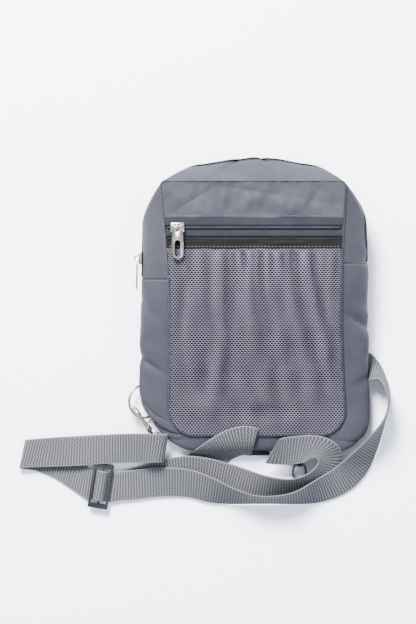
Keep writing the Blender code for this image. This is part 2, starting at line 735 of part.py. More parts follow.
# ---- tri-glide slider ---------------------------------------------------------
GLIDE_AT = Vector((-128.2 * MM, -150.4 * MM, 0.0))
GLIDE_TURN = math.radians(-9.0)
GLIDE_L = 38.0 * MM
GLIDE_W = 17.0 * MM
GLIDE_LOW = 4.3 * MM
GLIDE_TOP = 6.5 * MM
GLIDE_U = Vector((math.cos(GLIDE_TURN), math.sin(GLIDE_TURN), 0.0))
GLIDE_V = Vector((-math.sin(GLIDE_TURN), math.cos(GLIDE_TURN), 0.0))


def glide_point(u, v, z):
    return GLIDE_AT + GLIDE_U * (u * MM) + GLIDE_V * (v * MM) + Vector((0, 0, z * MM))


def tri_glide():
    rotation = Matrix.Rotation(GLIDE_TURN, 3, "Z")
    mid_z = (GLIDE_LOW + GLIDE_TOP) / 2.0
    centre = (GLIDE_AT.x, GLIDE_AT.y, mid_z)
    body = box("strap_slider", (GLIDE_W, GLIDE_L, GLIDE_TOP - GLIDE_LOW), centre, PLASTIC,
               rotation=rotation)
    bevel(body, 0.9 * MM, 2)
    inner = STRAP_W + 4.0 * MM
    bar = 2.2 * MM
    slot_w = (GLIDE_W - 3 * bar) / 2.0
    for sign in (-1.0, 1.0):
        shift = GLIDE_U * (sign * (bar + slot_w) / 2.0)
        at = (GLIDE_AT.x + shift.x, GLIDE_AT.y + shift.y, mid_z)
        cut = as_cutter(box("glide_slot_%d" % int(sign), (slot_w, inner, 12 * MM), at, PLASTIC,
                            CUTTERS, rotation))
        boolean(body, cut)
    return body


tri_glide()

# ---- webbing ------------------------------------------------------------------
# Every station: x, y, z in millimetres, plan angle of the width, tilt of the width.


def glide_station(u, z, tilt=0.0):
    at = glide_point(u, 0.0, z)
    return (at.x / MM, at.y / MM, z, 90.0 + math.degrees(GLIDE_TURN), tilt)


long_strap = [
    # sewn end round the swivel eye
    (-95.0, -118.4, 9.6, 88, 11), (-88.0, -118.5, 8.3, 82, 11), (-82.0, -118.5, 8.1, 80, 11),
    (-77.0, -118.5, 9.2, 80, 11), (-73.8, -118.5, 12.4, 80, 11), (-77.0, -118.5, 15.6, 80, 11),
    # first run to the left
    (-82.0, -118.5, 15.8, 80, 11), (-88.0, -118.5, 14.8, 84, 11), (-95.0, -118.4, 12.8, 88, 11),
    (-106.0, -118.6, 10.8, 90, 9), (-122.0, -119.4, 8.8, 90, 5),
    (-145.0, -121.0, 6.6, 88, 0), (-165.0, -121.9, 5.6, 84, 0), (-184.0, -122.9, 5.6, 76, 0),
    # turned back on itself
    (-191.5, -123.6, 5.4, 76, 0), (-193.6, -123.9, 3.2, 78, 0), (-191.5, -124.2, 1.1, 80, 0),
    # second run, under the first and down to the slider
    (-180.0, -126.0, 0.9, 80, 0), (-165.0, -132.0, 0.9, 76, 0), (-152.0, -140.0, 1.2, 74, 0),
    (-144.0, -145.4, 2.2, 78, 0),
    glide_station(-10.0, 3.3), glide_station(-7.4, 3.3), glide_station(-5.6, 3.5),
    glide_station(-4.4, 5.0), glide_station(-3.5, 7.1), glide_station(-1.9, 8.9),
    glide_station(0.0, 9.4), glide_station(1.9, 8.9), glide_station(3.4, 7.2),
    glide_station(4.6, 5.2), glide_station(5.6, 3.75), glide_station(7.2, 3.4),
    glide_station(10.0, 3.3),
    # outer run, rising on its edge
    (-112.0, -150.6, 3.2, 88, 1), (-100.0, -149.6, 3.2, 92, 3), (-78.4, -147.2, 3.9, 92, 8),
    (-55.6, -148.2, 5.0, 88, 15), (-36.9, -153.4, 8.4, 82, 30), (-20.3, -158.1, 11.2, 82, 52),
    (0.4, -161.4, 12.8, 86, 70), (21.2, -161.4, 12.8, 92, 70), (37.8, -159.3, 11.4, 100, 58),
    (54.4, -154.3, 8.2, 108, 34), (72.6, -145.4, 5.4, 122, 20), (85.9, -133.0, 7.6, 142, 30),
    (97.2, -116.4, 11.6, 152, 56), (107.5, -97.0, 13.2, 160, 80), (112.0, -82.3, 13.3, 180, 83),
    (110.6, -68.4, 13.0, 205, 80), (105.6, -57.6, 12.4, 232, 70), (100.5, -53.5, 10.2, 250, 48),
    (96.5, -51.5, 5.5, 262, 22), (92.0, -50.6, 3.3, 268, 7), (85.0, -50.0, 2.6, 270, 3),
    (78.2, -50.0, 2.2, 270, 0),
]
ribbon("strap_long", long_strap, STRAP_W, WEB, per_span=3)

# sewn round the centre bar of the slider, then out under the long strap
WRAP_R = 2.4
bar_z = (GLIDE_LOW + GLIDE_TOP) / 2.0 / MM
anchor_strap = [glide_station(3.2, 1.3), glide_station(1.6, 2.5)]
for turn in range(7):
    angle = math.radians(-90.0 - 180.0 * turn / 6)
    anchor_strap.append(glide_station(WRAP_R * math.cos(angle), bar_z + WRAP_R * math.sin(angle)))
anchor_strap += [glide_station(1.7, 7.1), glide_station(2.6, 5.6), glide_station(3.6, 3.9),
                 glide_station(5.0, 2.4), glide_station(7.0, 1.9), glide_station(10.0, 1.6)]
anchor_strap += [
    (-108.0, -149.6, 1.2, 90, 1), (-94.0, -146.4, 1.4, 96, 3), (-79.0, -142.0, 2.4, 100, 6),
    (-66.0, -138.6, 4.2, 98, 11), (-54.0, -137.2, 5.2, 92, 14), (-41.0, -138.8, 5.2, 84, 13),
    (-28.0, -142.4, 4.4, 78, 9), (-12.0, -147.4, 3.6, 75, 10), (3.0, -151.2, 6.0, 80, 24),
    (18.0, -152.8, 8.8, 86, 38), (32.0, -153.0, 9.4, 98, 42), (45.5, -149.5, 9.4, 112, 40),
    (56.5, -142.5, 9.8, 134, 36), (62.5, -134.0, 11.0, 158, 32), (62.5, -125.8, 13.2, 184, 26),
    (56.8, -120.4, 16.6, 212, 8), (46.0, -119.0, 17.6, 246, -6), (34.0, -120.0, 16.4, 262, -14),
    (24.0, -120.8, 15.6, 264, -20), (14.5, -121.2, 15.0, 240, -22),
]
ribbon("strap_anchor", anchor_strap, STRAP_W, WEB, per_span=3)


def drape(y):
    """Height of webbing lying over the lower edge of the bag, in millimetres."""
    steps = [(-200.0, 0.75), (-128.5, 0.75), (-126.0, 1.8), (-124.0, 4.4), (-122.0, 8.4),
             (-120.0, 11.4), (-117.0, 13.8), (-113.0, 16.0), (-108.0, 17.6), (-104.0, 18.4),
             (-98.0, 19.8)]
    for (ya, za), (yb, zb) in zip(steps, steps[1:]):
        if y <= yb:
            return za + (zb - za) * (y - ya) / (yb - ya)
    return steps[-1][1]


def draped_ribbon(name, stations, width, mat, per_span=4, across_count=9):
    """Webbing laid over the lower edge of the bag: stations are x, y and the angle of the width."""
    path = smooth_path(stations, per_span)
    verts = []
    for x, y, turn in path:
        ux, uy = math.cos(math.radians(turn)), math.sin(math.radians(turn))
        for k in range(across_count):
            reach = width / MM * (k / (across_count - 1) - 0.5)
            px, py = x + ux * reach, y + uy * reach
            verts.append(Vector((px, py, drape(py))) * MM)
    obj = mesh_object(name, verts, grid_faces(len(path), across_count), mat)
    return thicken(obj, STRAP_T, 0.0)


short_strap = [(-66.0, -146.0, 112), (-56.0, -140.0, 116), (-47.0, -133.5, 120), (-38.0, -127.0, 122),
               (-30.0, -121.2, 120), (-22.0, -116.4, 113), (-14.0, -113.2, 102), (-6.5, -112.2, 90),
               (0.0, -113.8, 76)]
draped_ribbon("strap_short", short_strap, STRAP_W, WEB, per_span=3)

# webbing tab from the seam under the bottom edge, folded back on itself
TAB_X = 3.0
tab = [(TAB_X, -104.5, 2.6, 0, 0), (TAB_X, -112.0, 2.4, 0, 0), (TAB_X, -120.0, 2.4, 0, 0),
       (TAB_X, -123.6, 2.2, 0, 0), (TAB_X, -124.8, 1.5, 0, 0), (TAB_X, -123.6, 0.75, 0, 0),
       (TAB_X, -120.0, 0.7, 0, 0), (TAB_X, -112.0, 0.7, 0, 0), (TAB_X, -104.5, 0.7, 0, 0)]
ribbon("bottom_tab", tab, 20.0 * MM, WEB, per_span=2, thickness=0.9 * MM)


# ---- pear ring under the folded strap end --------------------------------------
PEAR = Vector((37.8 * MM, -138.0 * MM, 3.6 * MM))
PEAR_HALF = 6.3 * MM
PEAR_WIRE = 1.0 * MM


def pear_ring():
    """Pear-shaped wire ring, its narrow end up and nearly straight."""
    loop = []
    for k in range(32):
        angle = 2 * math.pi * (k + 0.5) / 32
        width = (5.3 - 1.4 * math.cos(angle)) * MM
        rise = math.copysign(abs(math.cos(angle)) ** 0.6, math.cos(angle))
        loop.append(PEAR + Vector((width * math.sin(angle), PEAR_HALF * rise, 0.0)))
    return wire("end_ring", loop, PEAR_WIRE, GUN, closed=True, resolution=2)


pear_ring()


def ring_tab_stations():
    """Narrow doubled tab: down from the strap end, round the ring's straight end and back up."""
    x, y, z = (c / MM for c in (PEAR + Vector((0.0, PEAR_HALF, 0.0))))
    r = (PEAR_WIRE + GAP) / MM + 0.95
    out = [(x, y + 14.0, 14.6, 0, 0), (x, y + 9.0, 12.4, 0, 0), (x, y + 4.5, 8.4, 0, 0)]
    for k in range(7):
        angle = math.radians(70.0 + 200.0 * k / 6)
        out.append((x, y + r * math.cos(angle), z + r * math.sin(angle), 0, 0))
    return out + [(x, y + 4.5, 2.9, 0, 0), (x, y + 9.0, 9.6, 0, 0), (x, y + 14.0, 13.1, 0, 0)]


ribbon("end_ring_tab", ring_tab_stations(), 4.0 * MM, WEB, per_span=2, thickness=0.8 * MM)
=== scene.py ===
"""Looks of a small zipped crossbody pouch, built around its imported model.

The pouch lies on its back with its webbing strap laid out in front of it. X points right, Y towards the
top of the bag and Z up from the floor. Lengths are in metres, but the straps' stations and the wall's
creases are in millimetres.
"""
import logging
import math
from dataclasses import dataclass, field
from enum import Enum
from typing import Any, Callable, Optional, Sequence, Union

import bmesh
import bpy
import numpy as np
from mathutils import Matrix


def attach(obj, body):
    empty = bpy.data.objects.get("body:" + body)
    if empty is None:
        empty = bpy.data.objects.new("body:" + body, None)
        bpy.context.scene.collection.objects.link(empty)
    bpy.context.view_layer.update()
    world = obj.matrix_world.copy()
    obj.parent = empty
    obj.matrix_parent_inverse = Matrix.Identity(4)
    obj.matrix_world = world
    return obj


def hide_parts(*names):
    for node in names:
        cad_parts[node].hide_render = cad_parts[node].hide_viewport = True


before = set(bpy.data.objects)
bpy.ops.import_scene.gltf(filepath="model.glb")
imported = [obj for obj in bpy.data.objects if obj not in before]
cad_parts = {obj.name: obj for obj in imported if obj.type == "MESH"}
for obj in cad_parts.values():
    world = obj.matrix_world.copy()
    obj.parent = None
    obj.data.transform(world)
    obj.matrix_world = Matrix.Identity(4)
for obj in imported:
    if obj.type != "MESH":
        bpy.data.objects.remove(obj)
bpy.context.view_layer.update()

LOG = logging.getLogger("pouch")
MM = 0.001
UP = np.array([0.0, 0.0, 1.0])
Array = np.ndarray
Triple = tuple[float, float, float]
Station = tuple[float, float, float, float, float]


# ---- small maths --------------------------------------------------------------
def linear(red: float, green: float, blue: float) -> Triple:
    """Turns a colour as the eye sees it, 0 to 255 a channel, into the linear colour a shader wants.

    Args:
        red, green, blue: the channels, 0 to 255.

    Returns:
        The linear colour, each channel divided by 255 and put through the standard display curve.
    """
    out = []
    for value in (red, green, blue):
        v = value / 255.0
        out.append(v / 12.92 if v <= 0.04045 else ((v + 0.055) / 1.055) ** 2.4)
    return out[0], out[1], out[2]


def dye(red: float, green: float, blue: float) -> Triple:
    """A dyed cloth's own colour under the bright studio light: the linear colour, darkened to its share."""
    share = 0.142
    r, g, b = linear(red, green, blue)
    return share * r, share * g, share * b


def ease(t: Array) -> Array:
    """Smooth step, 3 t squared less 2 t cubed, held at 0 and 1 outside its range."""
    t = np.clip(t, 0.0, 1.0)
    return t * t * (3.0 - 2.0 * t)


def bell(x: Array, centre: Union[float, Array], width: Union[float, Array]) -> Array:
    """A smooth bump of height one: e to the minus square of (x less centre) over width."""
    return np.exp(-(((x - centre) / width) ** 2))


def unit(v: Array) -> Array:
    """Each vector of the last axis divided by its own length."""
    return v / np.maximum(np.linalg.norm(v, axis=-1, keepdims=True), 1e-12)


def ripple(x: Array, y: Array, size: float, seed: int, waves: int = 9) -> Array:
    """Soft uneven ripples, the same at every run.

    The height is a sum of plane sine waves of random direction and phase, whose lengths lie round size,
    divided by the square root of half their number so that it stays near plus or minus one.

    Args:
        x, y: where to read it, in metres.
        size: the usual wave length, in metres.
        seed: picks one pattern.
        waves: how many waves are added.

    Returns:
        The height at each point, without unit.
    """
    rng = np.random.default_rng(seed)
    total = np.zeros(np.broadcast(x, y).shape)
    for turn, phase, scale in zip(rng.uniform(0, math.tau, waves), rng.uniform(0, math.tau, waves),
                                  rng.uniform(0.6, 1.7, waves)):
        total += np.sin((x * math.cos(turn) + y * math.sin(turn)) * math.tau / (size * scale) + phase)
    return total / math.sqrt(waves / 2.0)


def curve_through(points: Array, per_span: int) -> Array:
    """A Catmull-Rom curve through rows of numbers of any length.

    Between b and c it is half of 2b + (c-a)t + (2a-5b+4c-d)t^2 + (3b-a-3c+d)t^3, with a and d the
    neighbours on either side, and the end rows doubled.

    Args:
        points: one row a point.
        per_span: how many steps each stretch gets.

    Returns:
        The rows along the curve, the last point included.
    """
    p = np.vstack([points[:1], points, points[-1:]])
    t = (np.arange(per_span) / per_span)[None, :, None]
    a, b, c, d = (p[i:len(p) - 3 + i, None, :] for i in range(4))
    rows = 0.5 * (2 * b + (c - a) * t + (2 * a - 5 * b + 4 * c - d) * t ** 2 + (3 * b - a - 3 * c + d) * t ** 3)
    return np.vstack([rows.reshape(-1, points.shape[1]), points[-1:]])


def length_along(path: Array) -> Array:
    """Distance from the start to each point of a path, straight steps added up."""
    steps = np.linalg.norm(np.diff(path[:, :3], axis=0), axis=1)
    return np.concatenate([[0.0], np.cumsum(steps)])


def resample(rows: Array, step: float) -> Array:
    """Rows of a path at even distances of about step, read between their neighbours in a straight line."""
    at = length_along(rows)
    count = max(int(round(at[-1] / step)), 2)
    want = np.linspace(0.0, at[-1], count + 1)
    return np.stack([np.interp(want, at, rows[:, k]) for k in range(rows.shape[1])], axis=1)


# ---- meshes -------------------------------------------------------------------
def place_object(name: str, data: bpy.types.ID) -> bpy.types.Object:
    """Links an object that shows a mesh, a light or a camera to the scene."""
    obj = bpy.data.objects.new(name, data)
    bpy.context.scene.collection.objects.link(obj)
    return obj


def make_piece(name: str, verts: Array, faces: list, uv: Optional[Array] = None) -> bpy.types.Object:
    """Puts arrays into a smooth-shaded mesh object at the origin.

    Args:
        name: the piece's name.
        verts: one row a vertex, in metres.
        faces: lists of vertex indices, or an array of them.
        uv: one row a face corner, in face order, in metres of cloth.

    Returns:
        The object, linked to the scene.
    """
    data = bpy.data.meshes.new(name)
    rows = faces.tolist() if isinstance(faces, np.ndarray) else [list(map(int, f)) for f in faces]
    data.from_pydata(verts.tolist(), [], rows)
    if uv is not None:
        layer = data.uv_layers.new(name="cloth")
        layer.data.foreach_set("uv", uv.astype(np.float32).ravel())
    data.polygons.foreach_set("use_smooth", np.full(len(data.polygons), True))
    data.update()
    return place_object(name, data)


def grid_piece(name: str, at: Array, uv: Array, wrap: bool = False, caps: bool = False,
               loop: bool = False, flip: bool = False) -> bpy.types.Object:
    """A surface from a grid of points: rows run along it, columns across it.

    Args:
        name: the piece's name.
        at: rows by columns by three, in metres.
        uv: rows by columns by two, in metres of cloth.
        wrap: True if the last column meets the first, as on a tube.
        caps: True to close both ends of a tube with one face each.
        loop: True if the last row meets the first.
        flip: True to turn the faces over.

    Returns:
        The object.
    """
    rows, cols = at.shape[:2]
    i = np.arange(rows if loop else rows - 1)[:, None]
    j = np.arange(cols if wrap else cols - 1)[None, :]
    k, m = (j + 1) % cols, (i + 1) % rows
    quads = np.stack([i * cols + j, i * cols + k, m * cols + k, m * cols + j], axis=-1).reshape(-1, 4)
    if flip:
        quads = quads[:, ::-1]
    corner = uv.reshape(-1, 2)[quads.ravel()]
    faces: list = quads.tolist()
    if caps:
        ends = [np.arange(cols)[::-1], (rows - 1) * cols + np.arange(cols)]
        if flip:
            ends = [e[::-1] for e in ends]
        faces += [e.tolist() for e in ends]
        corner = np.vstack([corner] + [uv.reshape(-1, 2)[e] for e in ends])
    return make_piece(name, at.reshape(-1, 3), faces, corner)


def tube_points(path: Array, radius: float, sides: int) -> Array:
    """Rings of a round tube along a path.

    Each ring is the path point plus radius times (cos a across + sin a normal), where across is the
    path's direction crossed with Z, and normal is across crossed with the direction.

    Args:
        path: one row a point.
        radius: the tube's radius.
        sides: how many points a ring has.

    Returns:
        Rings by sides by three.
    """
    ahead = unit(np.gradient(path, axis=0))
    across = unit(np.cross(ahead, UP) + 1e-9)
    normal = np.cross(across, ahead)
    a = np.arange(sides) * math.tau / sides
    ring = np.cos(a)[None, :, None] * across[:, None, :] + np.sin(a)[None, :, None] * normal[:, None, :]
    return path[:, None, :] + radius * ring


def tube_piece(name: str, path: Array, radius: float, sides: int = 10, loop: bool = False) -> bpy.types.Object:
    """A round tube along a path, closed at its ends or into a loop."""
    at = tube_points(path, radius, sides)
    run = length_along(path)
    uv = np.stack(np.broadcast_arrays(np.arange(sides)[None, :] * 0.3 * MM, run[:, None]), axis=-1)
    obj = grid_piece(name, at, uv, wrap=True, caps=not loop, loop=loop)
    return face_outwards(obj)


def face_outwards(obj: bpy.types.Object) -> bpy.types.Object:
    """Merges doubled points of a closed piece and turns its faces outwards."""
    work = bmesh.new()
    work.from_mesh(obj.data)
    bmesh.ops.remove_doubles(work, verts=work.verts, dist=1e-7)
    bmesh.ops.recalc_face_normals(work, faces=work.faces)
    work.to_mesh(obj.data)
    work.free()
    return obj


def give_wall(obj: bpy.types.Object, thickness: float) -> bpy.types.Object:
    """Gives a surface its cloth thickness, on the side away from its faces."""
    wall = obj.modifiers.new("wall", "SOLIDIFY")
    wall.thickness = thickness
    wall.offset = -1.0
    wall.use_quality_normals = True
    return obj


def dashes(name: str, centres: Array, ahead: Array, up: Array, length: float, radius: float,
           flat: float = 1.0) -> bpy.types.Object:
    """Many short rounded bars, such as stitches or zip teeth, as one piece.

    Each bar is four rings of six points: small at the ends, full between. A point lies at centre plus
    ahead times its place along, plus radius times (cos a across + flat sin a up).

    Args:
        name: the piece's name.
        centres: one row a bar.
        ahead: each bar's long direction.
        up: each bar's upward direction.
        length: how long a bar is.
        radius: how thick it is, from its middle.
        flat: its height as a share of its width.

    Returns:
        The object.
    """
    ahead = unit(np.broadcast_to(ahead, centres.shape))
    across = unit(np.cross(ahead, np.broadcast_to(up, centres.shape)))
    upward = np.cross(across, ahead)
    along = np.array([-0.5, -0.34, 0.34, 0.5]) * length
    width = np.array([0.45, 1.0, 1.0, 0.45]) * radius
    a = np.arange(6) * math.tau / 6
    at = (centres[:, None, None, :] + along[None, :, None, None] * ahead[:, None, None, :]
          + width[None, :, None, None] * (np.cos(a)[None, None, :, None] * across[:, None, None, :]
                                          + flat * np.sin(a)[None, None, :, None] * upward[:, None, None, :]))
    verts = at.reshape(-1, 3)
    i, j = np.arange(3)[:, None], np.arange(6)[None, :]
    quads = np.stack([i * 6 + j, i * 6 + (j + 1) % 6, (i + 1) * 6 + (j + 1) % 6, (i + 1) * 6 + j], axis=-1)
    base = (np.arange(len(centres)) * 24)[:, None]
    sides = (quads.reshape(1, -1, 4) + base[:, :, None]).reshape(-1, 4)
    ends = np.concatenate([np.arange(6)[::-1][None, :] + base, 18 + np.arange(6)[None, :] + base])
    return face_outwards(make_piece(name, verts, sides.tolist() + ends.tolist()))


# ---- shader graphs ------------------------------------------------------------
Value = Union[float, Sequence[float], "Wire"]


class Wire:
    """An output socket that can stand in a Python sum: each operator adds one Math node."""

    def __init__(self, graph: "Graph", socket: bpy.types.NodeSocket) -> None:
        """Keeps the graph and the socket."""
        self.graph = graph
        self.socket = socket


def operator(operation: str, swapped: bool) -> Callable[["Wire", Value], "Wire"]:
    """A Python operator that adds one Math node; swapped puts the wire second, as in 2 * wire."""
    if swapped:
        return lambda self, other: self.graph.maths(operation, other, self)
    return lambda self, other: self.graph.maths(operation, self, other)


for sign, operation in (("add", "ADD"), ("sub", "SUBTRACT"), ("mul", "MULTIPLY")):
    setattr(Wire, f"__{sign}__", operator(operation, False))
    setattr(Wire, f"__r{sign}__", operator(operation, True))


class Graph:
    """A material's node tree, with one method that makes any node."""

    def __init__(self, name: str) -> None:
        """Makes a material with its usual shader."""
        self.material = bpy.data.materials.new(name)
        self.material.use_nodes = True
        self.tree = self.material.node_tree
        self.shader = self.tree.nodes["Principled BSDF"]

    def node(self, kind: str, settings: Optional[dict[str, Any]] = None,
             inputs: Optional[dict[Union[str, int], Value]] = None, out: Union[str, int] = 0) -> Wire:
        """Makes a node, sets it up and fills its sockets.

        Args:
            kind: the node's type.
            settings: its properties, set first.
            inputs: values or wires for its sockets, by name or number.
            out: the output wanted.

        Returns:
            That output.
        """
        node = self.tree.nodes.new(kind)
        for key, value in (settings or {}).items():
            setattr(node, key, value)
        for key, value in (inputs or {}).items():
            self.feed(node.inputs[key], value)
        return Wire(self, node.outputs[out])

    def feed(self, socket: bpy.types.NodeSocket, value: Value) -> None:
        """Links a wire to a socket, or sets the socket's own value."""
        if isinstance(value, Wire):
            self.tree.links.new(value.socket, socket)
        elif isinstance(value, (tuple, list)):
            wide = len(socket.default_value)
            socket.default_value = tuple(value) + (1.0,) * (wide - len(value))
        else:
            socket.default_value = value

    def maths(self, operation: str, a: Value, b: Value = 0.0) -> Wire:
        """One Math node."""
        return self.node("ShaderNodeMath", {"operation": operation}, {0: a, 1: b})

    def sine(self, a: Value) -> Wire:
        """Sine of an angle in radians."""
        return self.maths("SINE", a)

    def step(self, value: Value, low: float, high: float) -> Wire:
        """Rises smoothly from 0 at low to 1 at high."""
        return self.node("ShaderNodeMapRange", {"interpolation_type": "SMOOTHSTEP"},
                         {"Value": value, "From Min": low, "From Max": high})

    def mix(self, share: Value, a: Value, b: Value) -> Wire:
        """Colour a where share is 0, colour b where it is 1."""
        return self.node("ShaderNodeMix", {"data_type": "RGBA"}, {0: share, 6: a, 7: b}, out=2)

    def place(self) -> Wire:
        """The point in the piece's own space, in metres."""
        return self.node("ShaderNodeTexCoord", out="Object")

    def cloth(self) -> tuple[Wire, Wire]:
        """Where the point lies on the flat cloth: across and along, in metres."""
        return self.split(self.node("ShaderNodeUVMap", {"uv_map": "cloth"}))[:2]

    def split(self, vector: Wire) -> tuple[Wire, Wire, Wire]:
        """The three parts of a vector."""
        parts = self.node("ShaderNodeSeparateXYZ", inputs={0: vector}).socket.node.outputs
        return Wire(self, parts[0]), Wire(self, parts[1]), Wire(self, parts[2])

    def wave(self, length: Wire, pitch: float) -> Wire:
        """Sine that repeats at every pitch of a length."""
        return self.sine(length * (math.tau / pitch))

    def noise(self, scale: float, detail: float = 3.0, vector: Optional[Wire] = None,
              stretch: Optional[Triple] = None) -> Wire:
        """Smooth noise round 0.5; scale is in waves a metre."""
        at = vector or self.place()
        if stretch is not None:
            at = self.node("ShaderNodeMapping", inputs={"Vector": at, "Scale": stretch})
        return self.node("ShaderNodeTexNoise", inputs={"Vector": at, "Scale": scale, "Detail": detail})

    def bump(self, height: Wire, depth: float, strength: float = 1.0, under: Optional[Wire] = None) -> Wire:
        """Turns a height of 0 to 1 into a normal, with depth in metres."""
        inputs: dict[Union[str, int], Value] = {"Height": height, "Distance": depth, "Strength": strength}
        if under is not None:
            inputs["Normal"] = under
        return self.node("ShaderNodeBump", inputs=inputs)

    def finish(self, **sockets: Value) -> bpy.types.Material:
        """Fills the shader's sockets, named with _ for spaces, and gives back the material."""
        for key, value in sockets.items():
            self.feed(self.shader.inputs[key.replace("_", " ").title().replace("Ior", "IOR")], value)
        return self.material


# ---- finishes -----------------------------------------------------------------
class Tone(Enum):
    """The colours of this pouch's cloth and trim."""

    NYLON = dye(108, 109, 128)
    NYLON_DARK = dye(88, 89, 106)
    WORN = dye(136, 138, 152)
    PAD = dye(84, 87, 97)
    TAPE = dye(88, 94, 110)
    TAPE_DARK = dye(50, 55, 68)
    COIL = dye(66, 76, 98)
    BAND = dye(12, 13, 17)
    BAND_LIGHT = dye(36, 38, 44)
    NET = dye(190, 184, 212)
    NET_DARK = dye(112, 104, 130)
    LINING = dye(60, 54, 76)
    LINING_DARK = dye(34, 30, 46)
    WEB = dye(206, 208, 217)
    WEB_DARK = dye(78, 80, 88)
    THREAD = dye(205, 205, 205)
    # Dark sewing thread; the same tone paints the shadow line round the front seam.
    DARK_THREAD_AND_SEAM_SHADOW = dye(60, 62, 72)
    PLASTIC = dye(50, 54, 64)
    NICKEL = linear(142, 140, 134)
    GUNMETAL = linear(84, 84, 90)


@dataclass(frozen=True)
class Nylon:
    """Plain-woven bag cloth: a fine basket weave, soft blotches and paler, worn high spots."""

    name: str
    light: Tone = Tone.NYLON
    dark: Tone = Tone.NYLON_DARK
    pitch: float = 0.62 * MM
    roughness: float = 0.58

    def make(self) -> bpy.types.Material:
        """The height is cos u times cos v over the pitch; blotches move the colour between the two tones."""
        g = Graph(self.name)
        u, v = g.cloth()
        weave = 0.5 + 0.5 * (g.wave(u, self.pitch) * g.wave(v, self.pitch))
        blotch = g.step(g.noise(42.0, 4.0), 0.32, 0.68)
        slub = g.noise(900.0, 2.0, stretch=(1.0, 0.12, 1.0))
        colour = g.mix(blotch * 0.5 + 0.25 * weave, self.light.value, self.dark.value)
        colour = g.mix(g.step(slub, 0.58, 0.8) * 0.35, colour, Tone.WORN.value)
        soft = g.bump(g.noise(120.0, 4.0), 0.7 * MM, 0.35)
        normal = g.bump(weave, 0.10 * MM, 0.55, soft)
        return g.finish(base_color=colour, roughness=self.roughness + 0.12 * blotch, normal=normal,
                        sheen_weight=0.04, sheen_roughness=0.5, specular_ior_level=0.16)


@dataclass(frozen=True)
class Webbing:
    """Woven strap: a herringbone of ribs that slant to either side, with a rolled edge."""

    name: str
    light: Tone = Tone.WEB
    dark: Tone = Tone.WEB_DARK
    rib: float = 2.3 * MM
    column: float = 3.4 * MM
    half: float = 12.5 * MM

    def make(self) -> bpy.types.Material:
        """Ribs are the sine of v over the rib pitch plus a zigzag of u, so that they slant both ways."""
        g = Graph(self.name)
        u, v = g.cloth()
        zigzag = g.maths("PINGPONG", u + 0.5, self.column / 2.0) * (0.7 / self.column)
        ribs = 0.5 + 0.5 * g.sine((v * (1.0 / self.rib) + zigzag) * math.tau)
        columns = 0.5 + 0.5 * g.sine(u * (math.tau * 2.0 / self.column) + 1.2)
        edge = g.step(g.maths("ABSOLUTE", u), self.half - 1.5 * MM, self.half - 0.6 * MM)
        height = (ribs * 0.7 + columns * 0.3) * (1.0 - edge) + 0.75 * edge
        fade = g.step(g.noise(30.0, 3.0), 0.3, 0.7)
        colour = g.mix(g.step(height, 0.12, 0.8), self.dark.value, self.light.value)
        colour = g.mix(fade * 0.28, colour, Tone.WORN.value)
        fuzz = g.noise(2600.0, 2.0)
        normal = g.bump(height + 0.25 * fuzz, 0.32 * MM, 0.9)
        return g.finish(base_color=colour, roughness=0.66 + 0.14 * fuzz, normal=normal, sheen_weight=0.03,
                        sheen_roughness=0.5, specular_ior_level=0.12)


@dataclass(frozen=True)
class RibbedTape:
    """Narrow woven tape, such as the zip's own and the band over the pocket."""

    name: str
    light: Tone
    dark: Tone
    rib: float = 0.9 * MM
    roughness: float = 0.75

    def make(self) -> bpy.types.Material:
        """Ribs across the tape: the sine of v over the rib pitch, with a faint sine of u along it."""
        g = Graph(self.name)
        u, v = g.cloth()
        ribs = 0.5 + 0.35 * g.wave(v, self.rib) + 0.15 * g.wave(u, 1.3 * MM)
        worn = g.step(g.noise(70.0, 3.0), 0.35, 0.75)
        colour = g.mix(ribs * 0.7 + worn * 0.3, self.dark.value, self.light.value)
        return g.finish(base_color=colour, roughness=self.roughness, normal=g.bump(ribs, 0.15 * MM, 0.7),
                        sheen_weight=0.02, specular_ior_level=0.1)


@dataclass(frozen=True)
class Yarn:
    """Smooth filament yarn of the net, the zip coil or the sewing thread."""

    name: str
    light: Tone
    dark: Tone
    roughness: float = 0.5
    twist: float = 0.5 * MM
    gathered: bool = False

    def make(self) -> bpy.types.Material:
        """A slanting ripple of the piece's own x + y + z makes the twist; slow noise shifts the tone."""
        g = Graph(self.name)
        x, y, z = g.split(g.place())
        twist = 0.5 + 0.5 * g.wave(x + y * 0.7 + z, self.twist)
        slow = g.step(g.noise(55.0, 3.0), 0.3, 0.72)
        # On the net, a point value darkens the valleys of the folds and lightens the ridges: partly denser yarn in
        # the folds, partly painted shade and painted highlight.
        if self.gathered:
            slow = slow * 0.25 + g.node("ShaderNodeAttribute", {"attribute_name": "gathered"}, out="Fac") * 0.75
        colour = g.mix(slow * 0.8 + twist * 0.2, self.light.value, self.dark.value)
        return g.finish(base_color=colour, roughness=self.roughness + 0.15 * twist,
                        normal=g.bump(twist, 0.05 * MM, 0.4), specular_ior_level=0.22)


@dataclass(frozen=True)
class Metal:
    """Plated wire and die castings, with rubbed places and hair scratches."""

    name: str
    tone: Tone
    roughness: float = 0.24
    dulled: float = 0.75

    def make(self) -> bpy.types.Material:
        """Noise dulls the plate in places; stretched noise draws the hair scratches."""
        g = Graph(self.name)
        rub = g.step(g.noise(260.0, 4.0), 0.42, 0.7)
        hair = g.noise(2200.0, 2.0, stretch=(1.0, 0.05, 0.4))
        dull = tuple(self.dulled * c for c in self.tone.value)
        colour = g.mix(rub * 0.6, self.tone.value, dull)
        return g.finish(base_color=colour, metallic=1.0, roughness=self.roughness + 0.16 * rub + 0.05 * hair,
                        normal=g.bump(hair, 0.03 * MM, 0.25))


